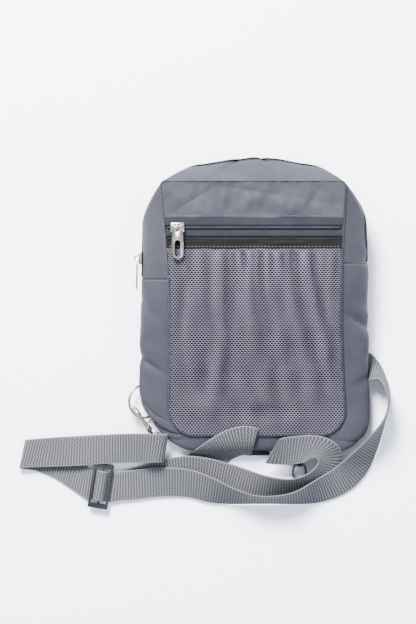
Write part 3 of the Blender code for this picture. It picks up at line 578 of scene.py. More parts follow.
@dataclass(frozen=True)
class Plastic:
    """Moulded plastic with a fine spark grain and polished wear."""

    name: str
    tone: Tone

    def make(self) -> bpy.types.Material:
        """Fine noise is the grain; coarse noise marks where it has worn smooth."""
        g = Graph(self.name)
        grain = g.noise(3200.0, 2.0)
        worn = g.step(g.noise(150.0, 3.0), 0.45, 0.7)
        lighter = tuple(min(1.0, 1.7 * c) for c in self.tone.value)
        colour = g.mix(worn * 0.35 + grain * 0.2, self.tone.value, lighter)
        return g.finish(base_color=colour, roughness=0.42 - 0.14 * worn,
                        normal=g.bump(grain, 0.05 * MM, 0.5), specular_ior_level=0.3)


@dataclass(frozen=True)
class AirMesh:
    """Padded back cloth: rows of small round cells in a knitted face."""

    name: str
    pitch: float = 3.0 * MM

    def make(self) -> bpy.types.Material:
        """Cells are a product of two sines of the cloth's own directions, turned by an eighth."""
        g = Graph(self.name)
        u, v = g.cloth()
        cells = g.sine((u + v) * (math.pi / self.pitch)) * g.sine((u - v) * (math.pi / self.pitch))
        pit = g.step(g.maths("ABSOLUTE", cells), 0.25, 0.75)
        # The pits, the low points of the bump, are painted darker: painted shade in the recesses.
        colour = g.mix(pit, Tone.PAD.value, tuple(0.35 * c for c in Tone.PAD.value))
        fuzz = g.noise(1500.0, 2.0)
        normal = g.bump(1.0 - pit + 0.2 * fuzz, 0.5 * MM, 0.8)
        return g.finish(base_color=colour, roughness=0.78 + 0.1 * fuzz, normal=normal, sheen_weight=0.03,
                        specular_ior_level=0.1)


class Wardrobe:
    """Every finish of the pouch, made once and handed out by name."""

    def __init__(self) -> None:
        """Makes the materials."""
        kinds = [
            Nylon("grey_nylon"),
            Nylon("pad_binding", Tone.BAND_LIGHT, Tone.BAND, 0.9 * MM, 0.75),
            Nylon("dark_lining", Tone.LINING, Tone.LINING_DARK, 0.5 * MM, 0.7),
            Webbing("grey_webbing"),
            # Dark webbing for the small tabs; on the low tab under the bag's lower edge its darkness is painted
            # shade.
            Webbing("dark_and_shaded_webbing", Tone.NYLON, Tone.TAPE_DARK, 1.2 * MM, 2.2 * MM, 10.0 * MM),
            RibbedTape("zip_tape", Tone.TAPE, Tone.TAPE_DARK),
            RibbedTape("pocket_band", Tone.BAND_LIGHT, Tone.BAND, 1.25 * MM),
            Yarn("zip_coil", Tone.COIL, Tone.TAPE_DARK, 0.4, 1.2 * MM),
            Yarn("net_yarn", Tone.NET, Tone.NET_DARK, 0.42, 0.5 * MM, True),
            Yarn("thread_light", Tone.THREAD, Tone.WEB_DARK, 0.6),
            # Dark thread for the real stitches, also used for the painted shadow cord round the front seam.
            Yarn("dark_thread_and_seam_shadow", Tone.DARK_THREAD_AND_SEAM_SHADOW, Tone.TAPE_DARK, 0.6),
            AirMesh("back_air_mesh"),
            Plastic("adjuster_plastic", Tone.PLASTIC),
            Metal("nickel", Tone.NICKEL),
            Metal("gunmetal", Tone.GUNMETAL, 0.34, 0.6),
        ]
        self.shelf = {kind.name: kind.make() for kind in kinds}

    def dress(self, obj: bpy.types.Object, name: str, slot: str, *instead_of: str,
              body: str = "bag") -> bpy.types.Object:
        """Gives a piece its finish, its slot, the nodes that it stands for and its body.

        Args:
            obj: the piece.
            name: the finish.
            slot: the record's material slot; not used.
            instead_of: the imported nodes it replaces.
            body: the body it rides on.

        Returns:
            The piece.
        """
        obj.data.materials.clear()
        obj.data.materials.append(self.shelf[name])
        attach(obj, body)
        if instead_of:
            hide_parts(*instead_of)
        LOG.info("%s: %s on %s", obj.name, name, body)
        return obj


# ---- shape of the bag ---------------------------------------------------------
@dataclass(frozen=True)
class Outline:
    """One closed line round the bag, given by its half widths and corners."""

    top: float
    low: float
    half_top: float
    half_low: float
    r_top: float
    r_right: float
    r_left: float
    cut_left: float = 1.0
    cut_top: float = 1.0
    waist: float = 0.0
    shear: float = 0.0
    rise: float = 0.0
    seam_right: float = 35.0 * MM
    seam_left: float = 22.0 * MM

    def share(self, y: Array) -> Array:
        """How far down the outline a height lies: 0 at the top, 1 at the bottom."""
        return (self.top - y) / (self.top - self.low)

    def half(self, y: Array) -> Array:
        """Half width: from half_top to half_low in a straight line, less a half sine of the waist."""
        t = np.clip(self.share(y), 0.0, 1.0)
        return self.half_top + (self.half_low - self.half_top) * t - self.waist * np.sin(math.pi * t)

    def lean(self, y: Array) -> Array:
        """Sideways lean of the outline."""
        return self.shear * (self.share(y) - 0.4)

    def edge(self, y: Array, side: Union[float, Array]) -> Array:
        """Where the outline's side lies at a height: the half width, less what the rounded corner takes.

        A corner takes r (1 - (1 - share^2)^(q/2)), where share is the depth into the corner over r, to
        the power 1/q, and q is 1 for a quarter circle.

        Args:
            y: heights.
            side: 1 for the right side and -1 for the left.

        Returns:
            X of the side.
        """
        y = np.asarray(y, dtype=float)
        r_low = np.where(np.asarray(side) > 0, self.r_right, self.r_left)
        low_power = np.where(np.asarray(side) > 0, 1.0, self.cut_left)
        upper = y > self.top - self.r_top
        depth = np.where(upper, y - (self.top - self.r_top), self.low + r_low - y)
        r = np.where(upper, self.r_top, r_low)
        q = np.where(upper, self.cut_top, low_power)
        share = np.clip(depth / r, 0.0, 1.0) ** (1.0 / q)
        inset = r * (1.0 - np.clip(1.0 - share * share, 0.0, 1.0) ** (q / 2.0))
        return side * (self.half(y) - inset) + self.lean(y)

    def point(self, p: Array) -> tuple[Array, Array]:
        """Point at parameter p, which counts 12 pieces clockwise from the middle of the top.

        The pieces of the right half are: half the top edge, the top corner, the side down to the seam,
        the side below it, the lower corner and half the bottom edge. The left half mirrors them.

        Args:
            p: parameters.

        Returns:
            X and Y.
        """
        p = np.mod(np.asarray(p, dtype=float), 12.0)
        side = np.where(p < 6.0, 1.0, -1.0)
        q = np.minimum(np.where(p < 6.0, p, 12.0 - p), 5.999999)
        piece = np.floor(q).astype(int)
        t = np.where(p < 6.0, p, 12.0 - p) - piece
        seam = np.where(side > 0, self.seam_right, self.seam_left)
        r_low = np.where(side > 0, self.r_right, self.r_left)
        power = np.where(side > 0, 1.0, self.cut_left)
        c, s = np.clip(np.cos(t * math.pi / 2), 0, 1), np.clip(np.sin(t * math.pi / 2), 0, 1)
        y_top, y_foot = self.top - self.r_top, self.low + r_low
        y1 = self.top - self.r_top * (1.0 - c ** self.cut_top)
        y4 = self.low + r_low * (1.0 - s ** power)
        y2, y3 = y_top + (seam - y_top) * t, seam + (y_foot - seam) * t
        y = np.choose(piece, [self.top + self.rise * (1.0 - t * t), y1, y2, y3, y4, np.full_like(t, self.low)])
        x0 = side * (self.half(self.top) - self.r_top) * t + self.lean(self.top)
        x1 = side * (self.half(y1) - self.r_top * (1.0 - s ** self.cut_top)) + self.lean(y1)
        x4 = side * (self.half(y4) - r_low * (1.0 - c ** power)) + self.lean(y4)
        x5 = side * (self.half(self.low) - r_low) * (1.0 - t) + self.lean(self.low)
        x = np.choose(piece, [x0, x1, self.edge(y2, side), self.edge(y3, side), x4, x5])
        return x, y


def fold(x: Array, centre: Union[float, Array], width: float) -> Array:
    """A creased line with a sharp bottom: e to the minus distance over width, barely rounded."""
    return np.exp(-np.sqrt((x - centre) ** 2 + (0.25 * width) ** 2) / width + 0.25)


class Side(Enum):
    """Which part of the side wall a crease keeps to."""

    LEFT = -1
    RIGHT = 1
    BOTH = 0


@dataclass(frozen=True)
class Crease:
    """One set crease or swell of the side wall's cloth.

    A crease across a side runs at a height of the bag, in mm; one round a corner runs at a parameter p.
    Its line moves by slant times (u less pivot) on the way to the back seam.
    """

    deep_mm: float
    at: float
    slant: float
    width: float
    side: Side = Side.BOTH
    swell: bool = False
    pivot: float = 0.5

    def shape(self, y_mm: Array, q: Array, u: Array) -> Array:
        """The crease's height, outwards, in metres."""
        along = q if self.side is Side.BOTH else y_mm
        part = {Side.BOTH: 1.0, Side.LEFT: q > 6.0, Side.RIGHT: q < 6.0}[self.side]
        curve = bell if self.swell else fold
        return self.deep_mm * MM * curve(along, self.at + self.slant * (u - self.pivot), self.width) * part


CREASES = (
    Crease(-5.0, -43.0, 16.0, 2.6, Side.LEFT), Crease(-4.2, -18.0, -18.0, 2.8, Side.RIGHT),
    Crease(1.4, -33.0, 14.0, 6.0, Side.LEFT, True), Crease(1.2, -8.0, -14.0, 6.0, Side.RIGHT, True),
    Crease(-3.8, -78.0, 36.0, 3.0, Side.LEFT), Crease(-2.8, -60.0, 24.0, 2.8, Side.RIGHT),
    Crease(-2.6, 7.3, 0.5, 0.06, pivot=0.3), Crease(-6.4, 7.62, 0.7, 0.07),
    Crease(1.6, 7.85, 0.6, 0.16, swell=True),
    Crease(-2.4, 4.5, -0.7, 0.08), Crease(1.2, 4.2, 0.0, 0.18, swell=True), Crease(-1.4, 1.52, 0.2, 0.08),
    Crease(-1.4, 10.45, 0.0, 0.08), Crease(-3.4, 0.95, 0.0, 0.42, swell=True),
    Crease(-3.4, 11.05, 0.0, 0.42, swell=True), Crease(-1.6, 0.35, -0.5, 0.05, pivot=0.0),
    Crease(-1.6, 11.5, 0.5, 0.05, pivot=0.0))


@dataclass
class BagShape:
    """The pouch's body: where its front, its side wall and its back lie."""

    depth_top: float = 46.0 * MM
    depth_low: float = 16.0 * MM
    back_thick: float = 4.0 * MM
    gap: float = 0.3 * MM
    stack: float = 2.3 * MM
    mid_share: float = 0.48
    front: Outline = field(default_factory=lambda: Outline(
        102.5 * MM, -108.0 * MM, 76.3 * MM, 75.0 * MM, 5.0 * MM, 24.0 * MM, 24.0 * MM,
        waist=5.0 * MM, shear=4.2 * MM))
    middle: Outline = field(default_factory=lambda: Outline(
        118.0 * MM, -120.0 * MM, 91.0 * MM, 96.0 * MM, 50.0 * MM, 28.0 * MM, 45.0 * MM,
        cut_left=1.3, cut_top=1.25, rise=4.0 * MM))
    back: Outline = field(default_factory=lambda: Outline(
        100.0 * MM, -103.0 * MM, 75.5 * MM, 75.5 * MM, 16.0 * MM, 24.0 * MM, 26.0 * MM))

    def front_height(self, y: Array) -> Array:
        """Height of the front seam: full at the top, eased down to the thin bottom over 150 mm."""
        return self.depth_top + (self.depth_low - self.depth_top) * ease((45.0 * MM - np.asarray(y)) / 0.150)

    def run(self, p: Array) -> Array:
        """Distance round the bag at parameter p, along its widest line."""
        grid = np.linspace(0.0, 24.0, 2401)
        x, y = self.middle.point(grid)
        at = length_along(np.stack([x, y, 0 * x], axis=1))
        return np.interp(p, grid, at)

    def slack(self, p: Array, u: Array) -> Array:
        """How far the wall's cloth stands off its smooth shape, outwards, in metres.

        It adds slow sags, sharp puckers where the front seam gathers the cloth, and a few set creases. All
        of them die out at both seams, and near the main zip's slider, which has to run straight.

        Args:
            p: parameter round the bag.
            u: 0 at the front seam to 1 at the back seam.

        Returns:
            The distance.
        """
        s = self.run(p)
        _, y = self.middle.point(p)
        window = np.sin(math.pi * np.clip(u, 0, 1)) ** 0.8
        q = np.mod(p, 12.0)
        calm = ease((np.abs(q - 9.7) - 0.6) / 0.3)
        below = ease((q - 2.9) / 0.3) * ease((9.1 - q) / 0.3)
        rim = 1.0 - 0.6 * bell(u, 0.5, 0.2)
        sag = (0.7 + 0.4 * below) * rim * MM * ripple(s, u * 60 * MM, 58 * MM, 11)
        fine = 0.30 * MM * ripple(s * 1.0, u * 30 * MM, 12 * MM, 12) * rim
        bite = np.exp(-u / 0.12) * (1 - np.exp(-u / 0.02))
        drift = s * math.tau / (8.4 * MM) + 2.2 * np.sin(s / (19 * MM))
        pucker = 1.25 * MM * bite * (1 - np.abs(np.sin(drift / 2.0))) * (0.6 + 0.4 * np.sin(s / (31 * MM)))
        crease = sum(one.shape(y / MM, q, u) for one in CREASES)
        crease += Crease(-1.6, 4.0, 30.0, 2.4, Side.LEFT).shape(y / MM, q, u) * below
        crease *= 1.5 - 1.2 * bell(u, 0.56, 0.2)
        return (window * (sag + fine + crease) + pucker) * calm

    def wall(self, p: Array, u: Array, proud: float = 0.0, still: bool = False) -> Array:
        """Point on the side wall.

        It is a quadratic curve from the front seam, past the widest line, to the back seam, moved outwards
        in plan by proud and by the cloth's slack.

        Args:
            p: parameter round the bag.
            u: 0 at the front seam to 1 at the back seam.
            proud: extra distance outwards.
            still: True to leave the slack out.

        Returns:
            Points, with x, y and z in the last axis.
        """
        p, u = np.broadcast_arrays(np.asarray(p, dtype=float), np.asarray(u, dtype=float))
        fx, fy = self.front.point(p)
        mx, my = self.middle.point(p)
        bx, by = self.back.point(p)
        fz = self.front_height(fy) - self.stack
        bz = self.back_thick + self.gap
        mz = bz + self.mid_share * (fz - bz)
        a = np.stack([fx, fy, fz], axis=-1)
        m = np.stack([mx, my, mz], axis=-1)
        b = np.stack([bx, by, np.full_like(bx, bz)], axis=-1)
        c = m * 2.0 - (a + b) * 0.5
        w = u[..., None]
        at = a * (1 - w) ** 2 + c * (2 * w * (1 - w)) + b * w * w
        out = np.stack([mx - (fx + bx) / 2.0, my - (fy + by) / 2.0, np.zeros_like(mx)], axis=-1)
        reach = proud + (0.0 if still else self.slack(p, u))
        return at + unit(out) * np.asarray(reach)[..., None]

    def zip_line(self, p: Array) -> Array:
        """The u of the main zip: half way at both sides, a little nearer the front over the top."""
        q = np.mod(p, 12.0)
        return 0.5 - 0.075 * (ease((q - 10.0) / 0.9) + ease((2.9 - q) / 0.5) * (q < 6.0))

    def off_zip(self, p: Array, distance: float) -> Array:
        """The u that lies a distance from the zip line, towards the back if positive."""
        speed = np.linalg.norm(self.wall(p, 0.52, still=True) - self.wall(p, 0.48, still=True), axis=-1) / 0.04
        return self.zip_line(p) + distance / speed

    def front_spot(self, x: Array, y: Array) -> tuple[Array, Array]:
        """Where a point of the front lies: s across from 0 to 1, and t down the mesh pocket from 0 to 1."""
        left, right = self.front.edge(y, -1.0), self.front.edge(y, 1.0)
        s = (x - left) / np.maximum(right - left, MM)
        t = (46.7 * MM - y) / (154.7 * MM)
        return np.clip(s, 0, 1), np.clip(t, 0, 1)

    def lift(self, s: Array, t: Array) -> Array:
        """How full the pocket is: a half sine across times a half sine down, both flattened."""
        return np.sin(math.pi * s) ** 0.8 * np.sin(math.pi * t ** 0.8) ** 0.8


def cloth_uv(at: Array) -> Array:
    """Lengths along a grid of points, as the flat cloth has them: across each row, and along the middle."""
    across = np.concatenate([np.zeros((at.shape[0], 1)),
                             np.cumsum(np.linalg.norm(np.diff(at, axis=1), axis=-1), axis=1)], axis=1)
    along = length_along(at[:, at.shape[1] // 2])
    return np.stack(np.broadcast_arrays(across, along[:, None]), axis=-1)


def zip_teeth(name: str, rows: Array, across: Array, up: Array) -> bpy.types.Object:
    """A zip's coil: bars across the line at every row, shifted by turns to either side."""
    side = np.where(np.arange(len(rows)) % 2 == 0, 1.0, -1.0)[:, None]
    shift, length, radius, flat = 0.35 * MM, 2.3 * MM, 0.42 * MM, 1.5
    return dashes(name, rows + across * side * shift, across, up, length, radius, flat)


def stitch_line(name: str, path: Array, up: Array, pitch: float = 3.2 * MM, length: float = 2.1 * MM,
                radius: float = 0.28 * MM) -> bpy.types.Object:
    """A row of stitches along a line on the cloth: a short bar of thread every pitch."""
    rows = resample(np.hstack([path, np.broadcast_to(up, path.shape)]), pitch)
    middle = 0.5 * (rows[1:, :3] + rows[:-1, :3])
    return dashes(name, middle, rows[1:, :3] - rows[:-1, :3], unit(rows[1:, 3:]), length, radius, 0.8)


@dataclass
class SideWall:
    """The lower gusset, the strips beside the main zip, its tapes and its coil."""

    shape: BagShape
    cloth: float = 0.75 * MM
    hem: float = 4.6 * MM
    tape_clear: float = 2.2 * MM
    start: float = 3.004
    seam: float = 8.996
    end: float = 14.996
    coil_pitch: float = 1.25 * MM

    def strip(self, name: str, p0: float, p1: float, near: Callable[[Array], Array],
              far: Callable[[Array], Array], rows: int, wall: float) -> bpy.types.Object:
        """A strip of the wall between two lines.

        Args:
            name: the piece's name.
            p0, p1: where it starts and ends round the bag.
            near, far: the u of its front and back edge for each p.
            rows: points across it.
            wall: its cloth thickness.

        Returns:
            The object.
        """
        count = int((p1 - p0) * 56)
        p = np.linspace(p0, p1, count)[:, None]
        t = np.linspace(0.0, 1.0, rows)[None, :]
        u = near(p) + (far(p) - near(p)) * t
        at = self.shape.wall(np.broadcast_to(p, u.shape), u)
        obj = grid_piece(name, at, cloth_uv(at))
        return give_wall(obj, wall)

    def line(self, p0: float, p1: float, u: Callable[[Array], Array], proud: float, count: int = 900) -> Array:
        """Points along the wall at one u, lifted off it by proud along the wall's own normal."""
        p = np.linspace(p0, p1, count)
        base = u(p)
        at = self.shape.wall(p, base)
        return at + self.normal(p, base) * proud

    def normal(self, p: Array, u: Array) -> Array:
        """Outward direction of the wall: the step round the bag crossed with the step towards the back."""
        du = self.shape.wall(p, u + 0.01, still=True) - self.shape.wall(p, u - 0.01, still=True)
        dp = self.shape.wall(p + 0.01, u, still=True) - self.shape.wall(p - 0.01, u, still=True)
        return unit(np.cross(du, dp))

    def build(self, wardrobe: Wardrobe) -> None:
        """Makes and dresses the wall's pieces."""
        off = self.shape.off_zip
        hem, clear = self.hem, self.tape_clear
        lap = hem - 0.2 * MM
        front_edge, back_edge = (lambda p: np.full_like(p, 0.0)), (lambda p: np.full_like(p, 1.0))
        gap = 0.008
        nylon, tape = ("grey_nylon", "nylon", self.cloth), ("zip_tape", "zip_tape", 0.5 * MM)
        strips = (
            ("gusset_cloth", self.start, self.seam, front_edge, back_edge, 44, nylon, "lower_gusset"),
            ("zip_strip_front", self.seam + gap, self.end, front_edge, lambda p: off(p, -hem), 24, nylon,
             "zip_gusset_front"),
            ("zip_strip_back", self.seam + gap, self.end, lambda p: off(p, hem), back_edge, 24, nylon,
             "zip_gusset_back"),
            ("zip_tape_front", self.seam + gap, self.end, lambda p: off(p, -lap), lambda p: off(p, -clear), 5, tape,
             "main_zip_tape_front"),
            ("zip_tape_back", self.seam + gap, self.end, lambda p: off(p, clear), lambda p: off(p, lap), 5, tape,
             "main_zip_tape_back"),
        )
        for name, p0, p1, near, far, rows, (finish, slot, wall), node in strips:
            wardrobe.dress(self.strip(name, p0, p1, near, far, rows, wall), finish, slot, node)
        self.coil(wardrobe)
        self.sewing(wardrobe)

    def coil(self, wardrobe: Wardrobe) -> None:
        """The main zip's coil: one turn of filament every pitch, alternately from either tape."""
        p0, p1, count = 9.06, 14.94, 1600
        path = self.line(p0, p1, self.shape.zip_line, -0.55 * MM, count)
        rows = resample(path, self.coil_pitch / 2.0)
        p = np.interp(np.linspace(0, 1, len(rows)), np.linspace(0, 1, count), np.linspace(p0, p1, count))
        up = self.normal(p, self.shape.zip_line(p))
        teeth = zip_teeth("main_coil", rows, unit(np.cross(unit(np.gradient(rows, axis=0)), up)), up)
        wardrobe.dress(teeth, "zip_coil", "zip_coil", "main_zip_coil")

    def sewing(self, wardrobe: Wardrobe) -> None:
        """The stitches beside the zip, and the seams that close the wall at both sides."""
        for name, sign in (("front", -1.0), ("back", 1.0)):
            beside = lambda p: self.shape.off_zip(p, sign * (self.hem + 1.6 * MM))
            path = self.line(9.02, 14.98, beside, 0.12 * MM)
            p = np.linspace(9.02, 14.98, len(path))
            up = self.normal(p, beside(p))
            row = stitch_line(f"zip_stitches_{name}", path, up)
            wardrobe.dress(row, "dark_thread_and_seam_shadow", "nylon")
        for name, at in (("right", 3.0), ("left", 9.0)):
            u = np.linspace(0.02, 0.98, 60)
            p = np.full_like(u, at)
            up = self.normal(p, u)
            path = self.shape.wall(p, u) + up * 0.05 * MM
            welt = tube_piece(f"side_seam_{name}", path, 0.75 * MM, 8)
            wardrobe.dress(welt, "grey_nylon", "nylon")
            low = self.shape.wall(p + (0.07 if name == "right" else -0.07), u)
            row = stitch_line(f"side_stitches_{name}", low + up * 0.1 * MM, up)
            wardrobe.dress(row, "dark_thread_and_seam_shadow", "nylon")


@dataclass
class FrontFace:
    """Everything on the front: lining, yoke, pocket zip, band, mesh pocket and the seam round them."""

    shape: BagShape
    yoke_low: float = 72.15 * MM
    tape_top: float = 71.85 * MM
    zip_y: float = 64.2 * MM
    tape_clear: float = 1.75 * MM
    tape_low: float = 57.0 * MM
    band_top: float = 56.4 * MM
    band_low: float = 46.7 * MM
    mesh_top: float = 46.9 * MM
    below_lining: float = 1.1 * MM
    lining_dome: float = 1.5 * MM
    mesh_dome: float = 7.0 * MM
    cell_wide: float = 2.75 * MM
    cell_high: float = 1.62 * MM
    margin: float = 0.35 * MM
    coil_z: float = 46.35 * MM
    coil_end: float = 2.5 * MM
    coil_pitch: float = 0.62 * MM

    def panel(self, name: str, top: float, low: float, rows: int, cols: int,
              height: Callable[[Array, Array], Array], wall: float) -> bpy.types.Object:
        """A panel of the front from side to side.

        Args:
            name: the piece's name.
            top, low: its upper and lower edge.
            rows, cols: points down and across.
            height: Z for each x and y.
            wall: its cloth thickness.

        Returns:
            The object.
        """
        y = np.linspace(top, low, rows)[:, None]
        left, right = self.shape.front.edge(y, -1.0), self.shape.front.edge(y, 1.0)
        x = left + (right - left) * np.linspace(0, 1, cols)[None, :]
        y = np.broadcast_to(y, x.shape)
        at = np.stack([x, y, height(x, y)], axis=-1)
        return give_wall(grid_piece(name, at, cloth_uv(at), flip=True), wall)

    def yoke_height(self, x: Array, y: Array) -> Array:
        """The yoke: flat at its edges, with puckers along the top seam and soft sags between."""
        down = np.clip((self.shape.front.top - y) / (self.shape.front.top - self.yoke_low), 0, 1)
        window = np.sin(math.pi * down) ** 0.8
        s, _ = self.shape.front_spot(x, y)
        side = np.clip(np.sin(math.pi * s), 0, 1) ** 0.4
        uneven = 0.35 + 0.65 * np.sin(x / (23 * MM) + 1.0) ** 2
        drift = x * math.tau / (11 * MM) + 2.8 * np.sin(x / (19 * MM))
        pucker = 0.75 * MM * uneven * np.exp(-down / 0.2) * np.sin(drift)
        sag = 0.7 * MM * ripple(x, y * 1.6, 52 * MM, 21) + 0.25 * MM * ripple(x, y, 14 * MM, 22)
        sag += -1.0 * MM * fold(x - 0.7 * y, -14 * MM, 4.5 * MM) - 0.9 * MM * fold(x + 0.9 * y, 78 * MM, 4.5 * MM)
        sag += -0.8 * MM * fold(y + 0.16 * x, 94 * MM, 4 * MM) - 0.8 * MM * fold(x - 1.6 * y, -190 * MM, 5 * MM)
        sag = np.maximum(sag, -1.9 * MM)
        return self.shape.front_height(y) + window * (sag * side + pucker)

    def lining_height(self, x: Array, y: Array) -> Array:
        """The inner front: a little below the seam, slightly full, with soft folds."""
        s, t = self.shape.front_spot(x, y)
        fold = 0.5 * MM * ripple(x, y * 0.5, 30 * MM, 31) * np.sin(math.pi * s) * np.sin(math.pi * t)
        above = np.clip((y - self.zip_y) / (36 * MM), 0, 1)
        hidden = 2.6 * MM * np.sin(math.pi * above) * np.sin(math.pi * s) ** 0.3
        dome = self.lining_dome * self.shape.lift(s, t)
        return self.shape.front_height(y) - self.below_lining + dome + fold - hidden

    def mesh_height(self, x: Array, y: Array) -> Array:
        """The mesh pocket: full in the middle, drawn into folds that fan down from the band.

        The folds are smooth ridges along slightly slanting lines, plus fine gathers that fade within a few
        centimetres of the band, and a slack roll above the bottom seam. Each ridge is given as its place in
        mm, its slant, its width and height in mm, and how fast it fades on the way down.

        Args:
            x, y: where to read it.

        Returns:
            Z.
        """
        s, t = self.shape.front_spot(x, y)
        lift = self.shape.lift(s, t)
        down = (self.band_low - y) / MM
        keep = np.clip(lift * 3.0, 0, 1)
        wave = np.zeros_like(lift)
        ridges = ((-62.0, 0.10, 4.0, 1.3, 0.020), (-52.0, -0.22, 3.5, -1.6, 0.010), (-36.0, 0.20, 3.5, -1.5, 0.022),
                  (-27.5, -0.06, 5.0, 2.8, 0.003), (-20.5, -0.05, 3.2, -2.2, 0.003), (-12.0, 0.26, 3.5, -1.6, 0.020),
                  (-3.0, -0.03, 5.5, 2.2, 0.008), (4.0, 0.10, 3.5, -1.9, 0.006), (14.0, 0.30, 4.0, 1.4, 0.018),
                  (27.0, 0.24, 3.5, -2.0, 0.010), (39.0, 0.22, 5.5, 2.4, 0.004), (47.5, 0.16, 3.2, -2.2, 0.004),
                  (58.0, 0.08, 4.5, 1.9, 0.006), (65.0, 0.02, 3.2, -1.6, 0.010))
        for place, slant, wide, high, decay in ridges:
            middle = place * MM + slant * down * MM
            wander = 2.2 * MM * np.sin(down / 21.0 + place)
            wave += high * MM * bell(x, middle + wander, (wide + 0.025 * down) * MM) * np.exp(-decay * down)
        gather = 1.25 * MM * np.sin(x * math.tau / (9.5 * MM) + 2.6 * np.sin(x / (13 * MM))) * np.exp(-down / 15)
        gather += 0.5 * MM * ripple(x, y * 0.25, 15 * MM, 41)
        roll = 0.8 * MM * bell(t, 0.92, 0.04) + 0.7 * MM * ripple(x * 0.6, y, 26 * MM, 42) * ease((t - 0.5) / 0.4)
        base = self.shape.front_height(y) + self.mesh_dome * lift
        return base + keep * (wave + gather * np.clip(down / 5, 0.15, 1) + roll) + 0.15 * MM

    def net(self, name: str) -> bpy.types.Object:
        """The mesh itself: hexagonal cells in brick order, each a ring of yarn round an open hole.

        A cell's corners are its centre plus (0, 0.66), (0.5, 0.34) ... times the cell's size, so that the
        rows share their corners, and its hole has the same corners drawn in. Corners past a seam are bent
        back inside it by d' = k log(1 + e^(d / k)), with d the distance inside.

        Args:
            name: the piece's name.

        Returns:
            The object, with its yarn thickness.
        """
        wide, high = self.cell_wide, self.cell_high
        front = self.shape.front
        rows = int((self.mesh_top - front.low) / high) + 2
        spread = 0.170
        cols = int(spread / wide) + 2
        j, i = np.meshgrid(np.arange(rows), np.arange(cols), indexing="ij")
        cx = -spread / 2.0 + (i + 0.5 * (j % 2)) * wide
        cy = self.mesh_top - high * (j + 0.2)
        level = np.maximum(cy, front.low)
        inside = (cx > front.edge(level, -1.0)) & (cx < front.edge(level, 1.0)) & (cy > front.low)
        cx, cy = cx[inside], cy[inside]
        turn = np.array([(0.0, 0.66), (0.5, 0.34), (0.5, -0.34), (0.0, -0.66), (-0.5, -0.34), (-0.5, 0.34)])
        ring = turn * np.array([wide, high])
        hole = ring * np.array([0.66, 0.60])
        outer = np.stack([cx[:, None] + ring[None, :, 0], cy[:, None] + ring[None, :, 1]], axis=-1)
        inner = np.stack([cx[:, None] + hole[None, :, 0], cy[:, None] + hole[None, :, 1]], axis=-1)
        plan = np.concatenate([outer, inner], axis=1).reshape(-1, 2)
        plan = self.bend_in(plan)
        z = self.mesh_height(plan[:, 0], plan[:, 1])
        drop = np.tile(np.concatenate([np.zeros(6), np.full(6, 0.22 * MM)]), len(cx))
        verts = np.column_stack([plan, z - drop])
        k = np.arange(6)
        quad = np.stack([k, (k + 1) % 6, 6 + (k + 1) % 6, 6 + k], axis=1)
        faces = (quad[None] + (np.arange(len(cx)) * 12)[:, None, None]).reshape(-1, 4)
        key = np.round(verts / (2e-6)).astype(np.int64)
        _, first, back = np.unique(key, axis=0, return_index=True, return_inverse=True)
        back = back.reshape(-1)
        obj = make_piece(name, verts[first], back[faces][:, ::-1])
        x, y = verts[first, 0], verts[first, 1]
        # How far each point lies below its neighbours 4 mm to either side, kept for the yarn's colour: darker in
        # valleys and lighter on ridges, partly denser yarn, partly painted shade.
        near = (self.mesh_height(x + 4 * MM, y) + self.mesh_height(x - 4 * MM, y)) / 2.0
        density_and_shade = np.clip((near - self.mesh_height(x, y)) / (0.9 * MM), -1.0, 1.0)
        layer = obj.data.attributes.new("gathered", "FLOAT", "POINT")
        layer.data.foreach_set("value", (0.5 + 0.5 * density_and_shade).astype(np.float32))
        return give_wall(obj, 0.42 * MM)

    def bend_in(self, plan: Array) -> Array:
        """Bends plan points that lie past the side or bottom seams back inside, smoothly."""
        k = 0.5 * MM
        soft = lambda d: k * np.logaddexp(0.0, d / k)
        front = self.shape.front
        y = front.low + self.margin + soft(plan[:, 1] - front.low - self.margin)
        y = self.mesh_top - soft(self.mesh_top - y)
        left, right = front.edge(y, -1.0) + self.margin, front.edge(y, 1.0) - self.margin
        x = left + soft(plan[:, 0] - left)
        x = right - soft(right - x)
        return np.column_stack([x, y])

    def build(self, wardrobe: Wardrobe) -> None:
        """Makes and dresses the front's pieces."""
        front, clear = self.shape.front, self.tape_clear
        high = lambda x, y: self.shape.front_height(y)
        flat = lambda x, y: high(x, y) - 0.25 * MM
        ribbed = lambda x, y: high(x, y) + 0.10 * MM + 0.12 * MM * ripple(x, y * 3, 20 * MM, 51)
        panels = (
            ("inner_front", front.top - 0.4 * MM, front.low + 0.4 * MM, 96, 90, self.lining_height, 0.7 * MM,
             "dark_lining", "lining", "front_lining"),
            ("yoke", front.top, self.yoke_low, 60, 220, self.yoke_height, 0.8 * MM,
             "grey_nylon", "nylon", "front_yoke"),
            ("pocket_tape_upper", self.tape_top, self.zip_y + clear, 8, 120, flat, 0.5 * MM,
             "zip_tape", "zip_tape", "pocket_zip_tape_upper"),
            ("pocket_tape_lower", self.zip_y - clear, self.tape_low, 8, 120, flat, 0.5 * MM,
             "zip_tape", "zip_tape", "pocket_zip_tape_lower"),
            ("woven_band", self.band_top, self.band_low, 14, 220, ribbed, 0.8 * MM,
             "pocket_band", "band", "pocket_band"),
        )
        for name, top, low, rows, cols, height, wall, finish, slot, node in panels:
            piece = self.panel(name, top, low, rows, cols, height, wall)
            wardrobe.dress(piece, finish, slot, node)
        wardrobe.dress(self.net("pocket_net"), "net_yarn", "mesh", "mesh_pocket")
        self.coil(wardrobe)
        self.sewing(wardrobe)

